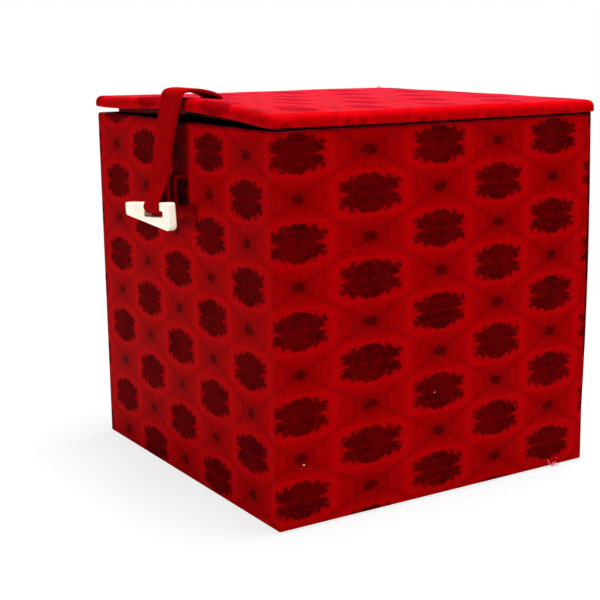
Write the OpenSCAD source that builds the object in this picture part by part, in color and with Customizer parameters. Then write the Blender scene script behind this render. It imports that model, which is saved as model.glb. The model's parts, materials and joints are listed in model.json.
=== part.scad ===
// Brocade-covered keepsake box: card walls wrapped in brocade, a padded lid on a
// cloth hinge, and a cloth strap whose wedge toggle slides sideways through a
// keeper loop on the front. Millimetres. The box stands on z = 0, its strap side
// faces -Y, and the origin is the middle of its underside.

/* [Box] */
// Width across the strap side
box_w = 125; // [90:1:180]
// Depth from the strap side to the hinge side
box_d = 122.5; // [90:0.5:180]
// Height of the box without its lid
box_h = 120; // [90:1:180]
// Radius of the upright corners, over the cloth
corner_r = 2.2; // [1.2:0.1:4]
// Radius of the rim's outer edge, over the cloth
rim_r = 1.2; // [0.8:0.1:1.6]

/* [Card and cloth] */
// Thickness of the four wall boards
wall_t = 2.5; // [2:0.1:4]
// Thickness of the base board
base_t = 3; // [2:0.1:5]
// Thickness of the brocade
cloth_t = 0.5; // [0.3:0.05:0.7]
// Glue line between two layers
glue_t = 0.05; // [0.04:0.01:0.08]
// Brocade turned over the rim and down inside
turn_in = 14; // [6:0.5:16]
// Brocade turned under the base
turn_under = 12; // [6:0.5:30]
// Thickness of the cloth that closes the underside
base_cover_t = 0.4; // [0.3:0.05:1]
// Distance of that cloth from the box's faces
base_cover_inset = 4; // [2:0.5:5]

/* [Lining] */
// Thickness of the satin-covered cards on the walls
lining_t = 0.8; // [0.6:0.1:1.5]
// Thickness of the satin-covered card on the floor
floor_lining_t = 1.2; // [0.8:0.1:3]
// Distance from the rim down to the lining's upper edge
lining_drop = 2.5; // [2:0.1:5]

/* [Lid] */
// Thickness of the lid board
lid_board_t = 2.2; // [1.5:0.1:4]
// Thickness of the wadding at the lid's corners
pad_corner_t = 0.4; // [0.2:0.05:1]
// Further thickness of the wadding away from the corners
pad_puff = 1; // [0.2:0.1:3]
// Width of the rounded border of the wadding
pad_round = 1.5; // [0.8:0.1:3]
// Radius of the lid's upright corners
lid_corner_r = 2.2; // [1.2:0.1:4]
// Distance that the lid stands past the side faces
lid_side_over = 0.8; // [0:0.1:2]
// Distance that the lid stands past the front face
lid_front_over = 0.6; // [0:0.1:2]
// Brocade turned under the lid board
lid_turn_in = 9; // [5.5:0.5:10]
// Gap between rim and lid where the lid is flat
lid_gap = 0.95; // [0.8:0.05:1.5]
// Further gap along the whole front edge
lid_lift = 0.4; // [0:0.1:2]
// Height of the bow in the lid's front edge
lid_bow = 2.4; // [0:0.1:5]
// Share of the lid's depth that the bow runs back over
lid_bow_reach = 0.55; // [0.4:0.05:0.9]
// Thickness of the satin-covered card under the lid
lid_lining_t = 1.5; // [1.2:0.1:3]
// Clearance between that card and the wall lining
lid_lining_clear = 0.95; // [0.5:0.05:2]

/* [Hinge cloth] */
// Distance that the hinge cloth stands off the back at the rim
hinge_stand = 1.2; // [0.5:0.1:2]
// Distance of the hinge cloth from the upright corners
hinge_inset = 1; // [0.5:0.1:6]
// Height of the hinge cloth's lower edge
hinge_foot = 5; // [3:0.5:60]
// Gap at the crease where lid and back cloth meet
crease_gap = 0.3; // [0.2:0.05:0.5]

/* [Strap] */
// Middle of the strap, from the middle of the box
strap_x = 2.4; // [-15:0.2:15]
// Width of the strap where it leaves the lid
strap_w = 14.2; // [9:0.2:22]
// Width of the strap at the toggle
strap_end_w = 10.4; // [6:0.2:12]
// Thickness of the folded strap
strap_t = 1.2; // [0.8:0.1:1.5]
// Distance from the strap's bend to the toggle's bar
strap_drop = 36.8; // [25:0.2:45]
// Angle at which the strap stands off the front
strap_tilt = 11; // [10:0.5:25]
// Distance of the strap's slit behind the lid's front edge
slit_back = 13.2; // [11:0.2:20]
// Height of the strap's bend above the lid
bend_up = 1; // [0.8:0.1:2]
// Distance of the strap's bend in front of the lid
bend_out = 0.8; // [0.7:0.1:2]
// Height of the strap's arch over its bend
arch_h = 1.8; // [0.5:0.1:4]
// Gap between the strap's two bending parts
bend_gap = 0.35; // [0.2:0.05:0.5]
// Length of strap glued flat under the lid board
tail_l = 12; // [5:0.5:25]

/* [Toggle] */
// Length of the wedge
toggle_l = 32.4; // [26:0.2:40]
// Height of its thick end
toggle_h = 8.9; // [7.5:0.1:12]
// Height of its thin end
toggle_tip_h = 4.2; // [3:0.1:6]
// Thickness of the wedge
toggle_t = 2.9; // [2.4:0.1:4]
// Radius of its bar
bar_r = 1.35; // [1:0.05:1.5]
// Height of the slot under the bar
slot_h = 1.9; // [1.8:0.1:2.4]
// Space in the slot beside each edge of the strap
slot_side = 1.8; // [0.6:0.1:2]
// Distance from the slot to the thick end
slot_end = 4.2; // [3:0.1:8]
// Tilt of the wedge, thin end down
toggle_tilt = 5.5; // [0:0.5:10]
// Radius of its corners
toggle_r = 0.9; // [0.4:0.1:1.2]

/* [Keeper loop] */
// Middle of the loop, from the middle of the box
keeper_x = 5.3; // [-20:0.5:20]
// Distance from the rim down to the top of the loop
keeper_drop = 16.6; // [15:0.2:30]
// Width of the loop's band
keeper_w = 4; // [3:0.5:8]
// Thickness of the loop's band
keeper_t = 0.8; // [0.5:0.1:1.2]
// Room for the toggle inside the loop, on thickness and height
keeper_room = 0.3; // [0.2:0.1:1]
// Length of the loop's two ends glued behind the front board
keeper_tail = 7; // [3:0.5:8]

/* [Hidden] */
// Every sub-part
$fn = 32;

// Distance that cutting solids run past what they cut
past = 1;

// Layers of a wall, as distances in from the box's outer face
board_in = cloth_t + glue_t;
board_out = board_in + wall_t;
turn_face = board_out + glue_t + cloth_t;
lining_face = turn_face + glue_t;
wall_in = lining_face + lining_t;

// Layers of the floor, as heights
wrap_z = base_cover_t + glue_t;
base_z = wrap_z + cloth_t + glue_t;
wall_z = base_z + base_t + glue_t;
wall_top = box_h - cloth_t - glue_t;

// Lid outline
hinge_face = box_d / 2 + hinge_stand + cloth_t;
lid_front = -box_d / 2 - lid_front_over;
lid_back = hinge_face - glue_t;
lid_half = [box_w / 2 + lid_side_over, (lid_back - lid_front) / 2];
lid_mid = (lid_back + lid_front) / 2;

// Layers of the lid, as heights above its underside
lid_board_z = cloth_t + glue_t;
pad_z = lid_board_z + lid_board_t + glue_t;

// Lid hinge: the crease lies just outside the cloth, halfway up the gap
crease_out = 0.1;
crease = [0, hinge_face + crease_out, box_h + lid_gap / 2];
hinge_half = box_w / 2 - corner_r - hinge_inset;

// Share of the bow at x: a slow rise from the left end, a rounder fall to the right
bow_left = box_w / 2 + strap_x;
bow_right = (box_w / 2 - strap_x) * 0.9;
bow_power = 2.2;
function bow(x) = x < strap_x
    ? pow(sin(90 * max(0, x + box_w / 2) / bow_left), 2)
    : max(0, 1 - pow((x - strap_x) / bow_right, bow_power));

// Height of the lid's underside above the rim
function lid_rise(x, y) =
    let (s = (y - lid_front) / (2 * lid_half[1] * lid_bow_reach))
    lid_gap + (s < 1 ? pow(1 - s, 2) : 0) * (lid_lift + lid_bow * bow(x));

// Thickness of the wadding: thin at the four corners only
function pad_t(x, y) =
    pad_corner_t + pad_puff * (1 - pow(x / lid_half[0] * (y - lid_mid) / lid_half[1], 4));

// Height of the lid's top surface at a point
function lid_top(x, y) = box_h + lid_rise(x, y) + pad_z + pad_t(x, y) + glue_t + cloth_t;

// Strap: the bend lies in front of the lid's top edge, the bar hangs below it
bend = [lid_front - bend_out, lid_top(strap_x, lid_front) + bend_up];
bar = bend + strap_drop * [-sin(strap_tilt), -cos(strap_tilt)];
slit_y = lid_front + slit_back;
slit_room = 0.1;

// Loop of the strap round the bar
loop_room = 0.3;
ply_t = strap_t / 2;
loop_in = bar_r + loop_room;
loop_out = loop_in + ply_t;
loop_len = 8;
loop_stem = 2;

// Toggle: slot and thick end, measured from the middle of the bar
slot_half = strap_end_w / 2 + slot_side;
toggle_end = slot_half + slot_end;
toggle_tip = toggle_end - toggle_l;
round_steps = 5;

// Keeper loop: the toggle's thick end passes through it
keeper_gap = toggle_t + keeper_room;
keeper_open = toggle_h + keeper_room;
keeper_top = box_h - keeper_drop;
keeper_low = keeper_top - keeper_open - 2 * keeper_t;

// Rings of points that make up the lid's curved layers
ring_x = 10;
ring_y = 8;
ring_c = 3;
ring_n = 2 * (ring_x + ring_y) + 4 * ring_c;
ring_shares = [0.25, 0.5, 0.7, 0.85, 0.95];
least_r = 0.2;

// Rectangle with soft corners
module plan(w, d, r) {
    square([w - 2 * r, d], center = true);
    square([w, d - 2 * r], center = true);
    for (x = [-1, 1], y = [-1, 1])
        translate([x * (w / 2 - r), y * (d / 2 - r)]) circle(r);
}

// Upright rectangle from z0 to z1 with its two top corners rounded
module rim_outline(w, z0, z1, r) {
    translate([-w / 2, z0]) square([w, z1 - z0 - r]);
    translate([r - w / 2, z0]) square([w - 2 * r, z1 - z0]);
    for (x = [-1, 1]) translate([x * (w / 2 - r), z1 - r]) circle(r);
}

// Draws a flat (y, z) outline from x0 along +X
module along_x(x0, length) {
    translate([x0, 0, 0]) rotate([90, 0, 90]) linear_extrude(length) children();
}

// The box's outer form, moved in by a distance on its faces and its rim
module soft_block(in, z0, z1) {
    w = box_w - 2 * in;
    d = box_d - 2 * in;
    r = max(least_r, rim_r - in);
    intersection() {
        translate([0, 0, z0]) linear_extrude(z1 - z0) plan(w, d, max(least_r, corner_r - in));
        rotate([90, 0, 0]) translate([0, 0, -d / 2 - past])
            linear_extrude(d + 2 * past) rim_outline(w, z0, z1, r);
        along_x(-w / 2 - past, w + 2 * past) rim_outline(d, z0, z1, r);
    }
}

// Upright box with its four sides a distance inside the box's faces
module inner_box(in, z0, z1) {
    translate([in - box_w / 2, in - box_d / 2, z0])
        cube([box_w - 2 * in, box_d - 2 * in, z1 - z0]);
}

// Corner arc of a ring, a quarter turn from angle a
function arc(c, r, a) = [for (k = [0 : ring_c - 1])
    c + r * [cos(a + 90 * k / ring_c), sin(a + 90 * k / ring_c)]];
function side(p, q, n) = [for (k = [0 : n - 1]) p + (q - p) * k / n];

// Ring of [x, y] points: a soft rectangle moved in by a distance and then scaled
function ring(half, mid, r0, in, share) =
    let (a = (half[0] - in) * share, b = (half[1] - in) * share,
         r = max(least_r, r0 - in) * share, u = a - r, v = b - r)
    [for (p = concat(
        side([-u, -b], [u, -b], ring_x), arc([u, -v], r, -90),
        side([a, -v], [a, v], ring_y), arc([u, v], r, 0),
        side([u, b], [-u, b], ring_x), arc([-u, v], r, 90),
        side([-a, v], [-a, -v], ring_y), arc([-u, -v], r, 180)))
        p + [0, mid]];

// Point on the lid: z above the underside, plus a share of the wadding there
function on_lid(p, z, pad) =
    [p[0], p[1], box_h + lid_rise(p[0], p[1]) + z + pad * pad_t(p[0], p[1])];

// Closed solid through rings given as [inset, share, height, share of wadding]
module lid_solid(half, mid, r0, rows) {
    last = len(rows) - 1;
    points = concat(
        [on_lid([0, mid], rows[0][2], rows[0][3])],
        [for (w = rows, p = ring(half, mid, r0, w[0], w[1])) on_lid(p, w[2], w[3])],
        [on_lid([0, mid], rows[last][2], rows[last][3])]);
    faces = concat(
        [for (k = [0 : ring_n - 1]) [0, 1 + (k + 1) % ring_n, 1 + k]],
        [for (j = [0 : last - 1], k = [0 : ring_n - 1], h = [0, 1])
            let (a = 1 + j * ring_n + k, b = 1 + j * ring_n + (k + 1) % ring_n)
            h == 0 ? [a, b, b + ring_n] : [a, b + ring_n, a + ring_n]],
        [for (k = [0 : ring_n - 1])
            [1 + (last + 1) * ring_n, 1 + last * ring_n + k, 1 + last * ring_n + (k + 1) % ring_n]]);
    polyhedron(points, faces);
}

// Rows of rings over a flat layer, from its middle out or from its edge in
function rows_out(in, z, pad) = [for (s = ring_shares) [in, s, z, pad]];
function rows_in(in, z, pad) =
    [for (k = [len(ring_shares) - 1 : -1 : 0]) [in, ring_shares[k], z, pad]];

// Rounded border of the wadding, or of cloth lying on it
function pad_border(in, z, lift) = [
    [in + pad_round, 1, z + lift, 1],
    [in + 0.5 * pad_round, 1, z + lift, 0.87],
    [in + 0.13 * pad_round, 1, z + lift * 0.7, 0.5],
    [in, 1, z, 0]];

// Outline of a flat strip of thickness t along a list of [y, z] points
function heading(path, k) =
    let (n = len(path) - 1, d = path[min(n, k + 1)] - path[max(0, k - 1)]) d / norm(d);
function beside(path, k, t) =
    let (d = heading(path, k)) path[k] + t / 2 * [-d[1], d[0]];
function strip(path, t) =
    let (n = len(path) - 1)
    concat([for (k = [0 : n]) beside(path, k, t)], [for (k = [n : -1 : 0]) beside(path, k, -t)]);

// Point on the smooth curve with four control points
function curve(p, s) =
    pow(1 - s, 3) * p[0] + 3 * s * pow(1 - s, 2) * p[1]
    + 3 * s * s * (1 - s) * p[2] + pow(s, 3) * p[3];

// Slit through the lid for the strap
module strap_slit() {
    low = box_h + lid_lining_t - past;
    high = lid_top(strap_x, slit_y) + past;
    translate([strap_x - strap_w / 2 - slit_room, slit_y - strap_t / 2 - slit_room, low])
        cube([strap_w + 2 * slit_room, strap_t + 2 * slit_room, high - low]);
}

// Two slits through the front for the ends of the keeper loop
module keeper_slits() {
    w = keeper_w + 2 * slit_room;
    h = keeper_t + 2 * slit_room;
    for (z = [keeper_low, keeper_top - keeper_t])
        translate([keeper_x - w / 2, -box_d / 2 - past, z - slit_room])
            cube([w, turn_face + past, h]);
}

module base_board() {
    color("tan") intersection() {
        soft_block(board_in, base_z, wall_top);
        inner_box(0, base_z, base_z + base_t);
    }
}

// Wall board across the front (side -1) or the back (side 1)
module cross_board(side) {
    intersection() {
        soft_block(board_in, base_z, wall_top);
        translate([-box_w / 2, side * (box_d / 2 - (board_in + board_out) / 2) - wall_t / 2, wall_z])
            cube([box_w, wall_t, box_h]);
    }
}

// Wall board between those two, on the left (side -1) or the right (side 1)
module side_board(side) {
    inset = board_out + glue_t;
    intersection() {
        soft_block(board_in, base_z, wall_top);
        translate([side * (box_w / 2 - (board_in + board_out) / 2) - wall_t / 2,
                   inset - box_d / 2, wall_z])
            cube([wall_t, box_d - 2 * inset, box_h]);
    }
}

module front_board() {
    color("tan") difference() {
        cross_board(-1);
        keeper_slits();
    }
}

module back_board() {
    color("tan") cross_board(1);
}

module left_board() {
    color("tan") side_board(-1);
}

module right_board() {
    color("tan") side_board(1);
}

// One strip of brocade round all four walls, turned over the rim and under the base
module side_wrap() {
    color("firebrick") difference() {
        soft_block(0, wrap_z, box_h);
        difference() {
            soft_block(cloth_t, wrap_z + cloth_t, box_h - cloth_t);
            difference() {
                inner_box(board_out + glue_t, box_h - turn_in, box_h);
                inner_box(turn_face, box_h - turn_in - past, box_h + past);
            }
        }
        inner_box(turn_face, wrap_z + cloth_t, box_h + past);
        inner_box(turn_under, wrap_z - past, wrap_z + cloth_t + past);
        keeper_slits();
    }
}

// Hinge cloth on the back: glued at its foot, standing off towards the rim
module back_cloth() {
    face = box_d / 2 + glue_t;
    top = crease[2] - crease_gap / 2;
    color("darkred") along_x(-hinge_half, 2 * hinge_half)
        polygon([[face, hinge_foot], [face + cloth_t, hinge_foot],
                 [hinge_face, top], [hinge_face - cloth_t, top]]);
}

module base_cover() {
    color("maroon") linear_extrude(base_cover_t)
        plan(box_w - 2 * base_cover_inset, box_d - 2 * base_cover_inset, corner_r);
}

module floor_lining() {
    color("gold") inner_box(wall_in + glue_t, wall_z, wall_z + floor_lining_t);
}

// Satin-covered card across the front (side -1) or the back (side 1)
module cross_lining(side) {
    color("gold") intersection() {
        inner_box(lining_face, wall_z, box_h - lining_drop);
        translate([-box_w / 2, side * (box_d / 2 - (lining_face + wall_in) / 2) - lining_t / 2, 0])
            cube([box_w, lining_t, box_h]);
    }
}

// Satin-covered card between those two, on the left (side -1) or the right (side 1)
module side_lining(side) {
    inset = wall_in + glue_t;
    color("gold") translate([side * (box_w / 2 - (lining_face + wall_in) / 2) - lining_t / 2,
                             inset - box_d / 2, wall_z])
        cube([lining_t, box_d - 2 * inset, box_h - lining_drop - wall_z]);
}

module front_lining() {
    cross_lining(-1);
}

module back_lining() {
    cross_lining(1);
}

module left_lining() {
    side_lining(-1);
}

module right_lining() {
    side_lining(1);
}

// Band that stands off the front, its ends through two slits and glued behind
module keeper_loop() {
    face = -box_d / 2;
    inner = face + board_out;
    tail_t = turn_face - board_out - 2 * glue_t - slit_room;
    color("darkred") along_x(keeper_x - keeper_w / 2, keeper_w) {
        difference() {
            translate([face - keeper_gap - keeper_t, keeper_low])
                square([keeper_gap + keeper_t + board_out, keeper_open + 2 * keeper_t]);
            translate([face - keeper_gap, keeper_low + keeper_t])
                square([keeper_gap + board_out + past, keeper_open]);
        }
        for (z = [keeper_low + keeper_t, keeper_top])
            translate([inner - glue_t, z - keeper_tail])
                translate([2 * glue_t, 0]) square([tail_t, keeper_tail]);
        for (z = [keeper_low, keeper_top - keeper_t])
            translate([inner - past, z]) square([past + 2 * glue_t, keeper_t]);
    }
}

module lid_board() {
    in = cloth_t + glue_t;
    top = lid_board_z + lid_board_t;
    color("tan") difference() {
        lid_solid(lid_half, lid_mid, lid_corner_r, concat(
            rows_out(in, top, 0), [[in, 1, top, 0], [in, 1, lid_board_z, 0]],
            rows_in(in, lid_board_z, 0)));
        strap_slit();
    }
}

module lid_padding() {
    in = cloth_t + glue_t;
    color("ivory") difference() {
        lid_solid(lid_half, lid_mid, lid_corner_r, concat(
            rows_out(in + pad_round, pad_z, 1), pad_border(in, pad_z, 0),
            rows_in(in, pad_z, 0)));
        strap_slit();
    }
}

// Brocade over the wadding, round the board's edges and turned in under it,
// with the flap at the back that runs down to the crease
module lid_brocade() {
    edge_low = lid_board_z + least_r;
    flap_low = crease[2] + crease_gap / 2;
    color("crimson") difference() {
        union() {
            lid_solid(lid_half, lid_mid, lid_corner_r, concat(
                rows_out(pad_round + cloth_t, pad_z + glue_t + cloth_t, 1),
                pad_border(0, pad_z, glue_t + cloth_t),
                [[0, 1, edge_low, 0], [cloth_t / 2, 1, cloth_t / 2, 0], [1.5 * cloth_t, 1, 0, 0],
                 [lid_turn_in, 1, 0, 0], [lid_turn_in, 1, cloth_t, 0], [cloth_t, 1, cloth_t, 0]],
                [for (k = [3 : -1 : 0]) pad_border(cloth_t, pad_z, glue_t)[k]],
                rows_in(cloth_t + pad_round, pad_z + glue_t, 1)));
            translate([-hinge_half, lid_back - cloth_t, flap_low])
                cube([2 * hinge_half, cloth_t, box_h + lid_gap + lid_board_z - flap_low]);
        }
        strap_slit();
    }
}

module lid_lining() {
    half = [box_w / 2 - wall_in - lid_lining_clear, box_d / 2 - wall_in - lid_lining_clear];
    low = -glue_t - lid_lining_t;
    color("gold") lid_solid(half, 0, lid_corner_r, concat(
        rows_out(0, -glue_t, 0), [[0, 1, -glue_t, 0], [0, 1, low + cloth_t, 0],
        [cloth_t, 1, low, 0]], rows_in(cloth_t, low, 0)));
}

// Strap from its flat end under the lid board, up the slit and over to the bend
module strap_anchor() {
    exit_z = lid_top(strap_x, slit_y) + cloth_t;
    steps = 12;
    path = [for (k = [0 : steps]) curve([
        [slit_y, exit_z], [slit_y - strap_t, exit_z + 1.2 * strap_t],
        [bend[0] + slit_back / 3, bend[1] + arch_h], bend], k / steps)];
    void_t = cloth_t + 2 * glue_t;
    tail_t = void_t / 2;
    tail_w = strap_w - 2 * slit_room;
    tail = [for (k = [0 : 4]) let (y = slit_y + tail_l * k / 4)
        [y, box_h + lid_rise(strap_x, y) + void_t / 2 - glue_t]];
    color("firebrick") {
        difference() {
            along_x(strap_x - strap_w / 2, strap_w) {
                polygon(strip(concat([[slit_y, exit_z - lid_board_t]], path), strap_t));
                translate([slit_y - strap_t / 2, tail[0][1] - tail_t / 2])
                    square([strap_t, exit_z - lid_board_t / 2 - tail[0][1]]);
            }
            along_x(strap_x - strap_w, 2 * strap_w)
                translate(bend) circle(strap_t / 2 + bend_gap);
        }
        along_x(strap_x - tail_w / 2, tail_w) polygon(strip(tail, tail_t));
    }
}

// Flat outline of the loop round the bar: the bar at the origin, the strap going up
module loop_outline() {
    foot = [ply_t, loop_len];
    turn = atan2(foot[1], foot[0]) - acos(loop_out / norm(foot));
    touch = [cos(turn), sin(turn)];
    difference() {
        union() {
            circle(loop_out);
            polygon([for (p = [loop_out * touch, foot]) p,
                     for (p = [foot, loop_out * touch]) [-p[0], p[1]]]);
            translate([-ply_t, loop_len - glue_t]) square([strap_t, loop_stem]);
        }
        circle(loop_in);
        polygon([loop_in * touch, [0, loop_in / touch[1]], [-loop_in * touch[0], loop_in * touch[1]]]);
    }
}

// Tilts what is drawn about the middle of the toggle's bar, thin end down
module at_bar() {
    translate([strap_x, bar[0], bar[1]]) rotate([0, -toggle_tilt, 0]) children();
}

// Strap from the bend down, its end folded round the bar and glued to itself
module strap_band() {
    half = strap_w / 2;
    end_half = strap_end_w / 2;
    top = bend[1] + strap_t;
    length = strap_drop - loop_len;
    color("firebrick") {
        intersection() {
            along_x(strap_x - strap_w, 2 * strap_w) translate(bend) rotate(-strap_tilt) {
                circle(ply_t);
                translate([-ply_t, -length]) square([strap_t, length]);
            }
            translate([strap_x, 0, 0]) rotate([90, 0, 0]) linear_extrude(box_d)
                polygon([[-half, top], [-end_half, bar[1]], [end_half, bar[1]], [half, top]]);
        }
        at_bar() along_x(-end_half, strap_end_w) rotate(-strap_tilt) loop_outline();
    }
}

// Outline with its corners rounded, from a list of points in counter-clockwise order
function rounded(p, r) = [for (k = [0 : len(p) - 1])
    let (n = len(p), a = p[(k + n - 1) % n] - p[k], b = p[(k + 1) % n] - p[k],
         u = a / norm(a), v = b / norm(b), half = acos(u * v) / 2,
         mid = p[k] + r / sin(half) * (u + v) / norm(u + v),
         start = atan2(-(u + v)[1], -(u + v)[0]) - (90 - half))
    for (j = [0 : round_steps]) let (t = start + j * (180 - 2 * half) / round_steps)
        mid + r * [cos(t), sin(t)]];

// Bone-coloured wedge: a slot under a round bar that the strap's loop turns on
module toggle() {
    top = bar_r;
    corner = toggle_r;
    edge = [[toggle_tip, top], [toggle_tip, top - toggle_tip_h],
            [toggle_end - 2 * corner, top - toggle_h], [toggle_end, top - toggle_h + corner],
            [toggle_end, top]];
    color("ivory") at_bar() {
        rotate([90, 0, 0]) translate([0, 0, -toggle_t / 2]) linear_extrude(toggle_t) difference() {
            polygon(rounded(edge, corner));
            translate([-slot_half, -bar_r - slot_h]) square([2 * slot_half, slot_h + toggle_h]);
        }
        rotate([0, 90, 0]) cylinder(h = 2 * slot_half + past, r = bar_r, center = true);
    }
}

base_board();
front_board();
back_board();
left_board();
right_board();
side_wrap();
back_cloth();
base_cover();
floor_lining();
front_lining();
back_lining();
left_lining();
right_lining();
keeper_loop();
lid_board();
lid_padding();
lid_brocade();
lid_lining();
strap_anchor();
strap_band();
toggle();
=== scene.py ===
"""Looks of a brocade-covered keepsake box: cloth-wrapped card walls, a padded lid on a cloth
hinge, and a cloth strap with a bone wedge that slides through a keeper loop on the front."""

import json
import logging
import math
from abc import ABC, abstractmethod
from dataclasses import dataclass, replace
from enum import Enum

import bpy
import numpy as np
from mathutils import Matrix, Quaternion, Vector


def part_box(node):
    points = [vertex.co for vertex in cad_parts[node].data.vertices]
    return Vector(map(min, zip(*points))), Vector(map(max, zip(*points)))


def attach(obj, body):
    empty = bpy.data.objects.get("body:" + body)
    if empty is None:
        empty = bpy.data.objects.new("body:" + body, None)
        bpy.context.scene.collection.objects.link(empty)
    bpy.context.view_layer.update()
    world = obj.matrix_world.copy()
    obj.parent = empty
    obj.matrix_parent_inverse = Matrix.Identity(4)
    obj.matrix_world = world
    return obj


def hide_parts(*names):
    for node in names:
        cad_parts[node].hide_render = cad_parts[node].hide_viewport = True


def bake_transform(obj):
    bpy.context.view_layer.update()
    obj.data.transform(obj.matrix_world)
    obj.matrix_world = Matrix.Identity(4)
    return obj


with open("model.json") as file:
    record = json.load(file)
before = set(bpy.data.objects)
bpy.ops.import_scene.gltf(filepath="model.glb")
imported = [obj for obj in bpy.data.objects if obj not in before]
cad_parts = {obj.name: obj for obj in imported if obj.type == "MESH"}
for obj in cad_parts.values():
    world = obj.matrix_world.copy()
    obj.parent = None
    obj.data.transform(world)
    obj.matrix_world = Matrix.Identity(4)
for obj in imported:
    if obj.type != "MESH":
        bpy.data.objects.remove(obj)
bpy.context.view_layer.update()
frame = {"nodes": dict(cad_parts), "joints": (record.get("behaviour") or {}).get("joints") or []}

# One millimetre, in Blender's metres
MM = 0.001
# Map that follows a piece of cloth
CLOTH_UV = "cloth"
# Smallest corner radius in millimetres, so that no two points of a loop fall together
LEAST_RADIUS = 0.05
# Edge radius of a folded tape, as a share of its thickness
TAPE_ROUND = 0.46
# Glue line between two layers, in millimetres
GLUE = 0.05
# Share of an outward direction along one axis, above which a sample lies on a straight side
STRAIGHT = 0.99

log = logging.getLogger("keepsake_box")

Colour = tuple[float, float, float, float]
Known = dict[str, bpy.types.NodeSocket]
Rows = list[tuple[str | float, ...]]
# Colour, roughness and height in millimetres, each a value or an output
Look = tuple[object, object, object]


class Ends(Enum):
    """How the first and last loop of a surface are closed."""

    CAPPED = "each end is filled"
    JOINED = "the last loop runs on into the first"


class Place(Enum):
    """What a finish reads its pattern from."""

    CLOTH = "the piece's own cloth map, in metres"
    OBJECT = "object coordinates"


def linear(colour: str) -> Colour:
    """Turns an sRGB colour into the linear one that a shader takes.

    Args:
        colour: Six hex digits.

    Returns:
        Linear red, green and blue, and an alpha of 1.
    """
    shares = [int(colour[k:k + 2], 16) / 255 for k in (0, 2, 4)]
    return (*[s / 12.92 if s <= 0.04045 else ((s + 0.055) / 1.055) ** 2.4 for s in shares], 1.0)


def add(tree: bpy.types.NodeTree, kind: str, inputs: dict[str | int, object] | None = None,
        **settings: object) -> bpy.types.Node:
    """Adds one node with its settings and links.

    Args:
        tree: Node tree that takes the node.
        kind: Blender's name of the node type.
        inputs: Input name or number to a value, or to the output that is linked to it.
        settings: Properties of the node.

    Returns:
        The new node.
    """
    made = tree.nodes.new(kind)
    for name, value in settings.items():
        setattr(made, name, value)
    for key, value in (inputs or {}).items():
        if isinstance(value, bpy.types.NodeSocket):
            tree.links.new(value, made.inputs[key])
        else:
            made.inputs[key].default_value = value
    return made


def reckon(tree: bpy.types.NodeTree, known: Known, rows: Rows) -> Known:
    """Works out a formula, one Math node for each row.

    Args:
        tree: Node tree that takes the nodes.
        known: Named outputs so far; each row's result is added under its name.
        rows: Name, operation and inputs, where an input is a number or a name.

    Returns:
        The same dictionary, with the new outputs.
    """
    for name, operation, *values in rows:
        inputs = {k: known[v] if isinstance(v, str) else v for k, v in enumerate(values)}
        known[name] = add(tree, "ShaderNodeMath", inputs, operation=operation).outputs[0]
    return known


def ramp(name: str, source: str, scale: float, cap: float) -> Rows:
    """Writes the rows that scale a value and hold it between 0 and a cap.

    Args:
        name: Name of the result.
        source: Name of the value.
        scale: Factor on the value.
        cap: Highest result.

    Returns:
        Rows for reckon.
    """
    scaled, raised = f"{name}_scaled", f"{name}_raised"
    return [(scaled, "MULTIPLY", source, scale), (raised, "MAXIMUM", scaled, 0.0),
            (name, "MINIMUM", raised, cap)]


def crossing(thread: float) -> Rows:
    """Writes the rows of a plain weave: a triangle wave along u and one along v, added up.

    Args:
        thread: Distance from thread to thread, in millimetres.

    Returns:
        Rows for reckon, whose result is named weave.
    """
    return [("wave_u", "PINGPONG", "u", thread / 2), ("wave_v", "PINGPONG", "v", thread / 2),
            ("weave", "ADD", "wave_u", "wave_v")]


def clouds(tree: bpy.types.NodeTree, known: Known, **patches: tuple[float, float, float, int]) -> None:
    """Adds soft random patches with values round 0.5, each under its own name.

    Args:
        tree: Node tree that takes the nodes.
        known: The finish's coordinates, which take the new names too.
        patches: Size of a patch along u, v and w in millimetres, and the number of finer layers.
    """
    for name, (*size, detail) in patches.items():
        inverse = tuple(1 / s for s in size)
        scaled = add(tree, "ShaderNodeMapping", {0: known["place"], 3: inverse}).outputs[0]
        noise = {"Vector": scaled, "Scale": 1.0, "Detail": detail}
        known[name] = add(tree, "ShaderNodeTexNoise", noise).outputs[0]


def paint(tree: bpy.types.NodeTree, start: Colour, layers: list[tuple[bpy.types.NodeSocket, Colour]]
          ) -> bpy.types.NodeSocket:
    """Lays colours over each other, each by its own share.

    Args:
        tree: Node tree that takes the nodes.
        start: Lowest colour.
        layers: Share and colour of each further layer, lowest first.

    Returns:
        The colour on top.
    """
    for share, colour in layers:
        start = add(tree, "ShaderNodeMix", {0: share, 6: start, 7: colour}, data_type="RGBA").outputs[2]
    return start


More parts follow.
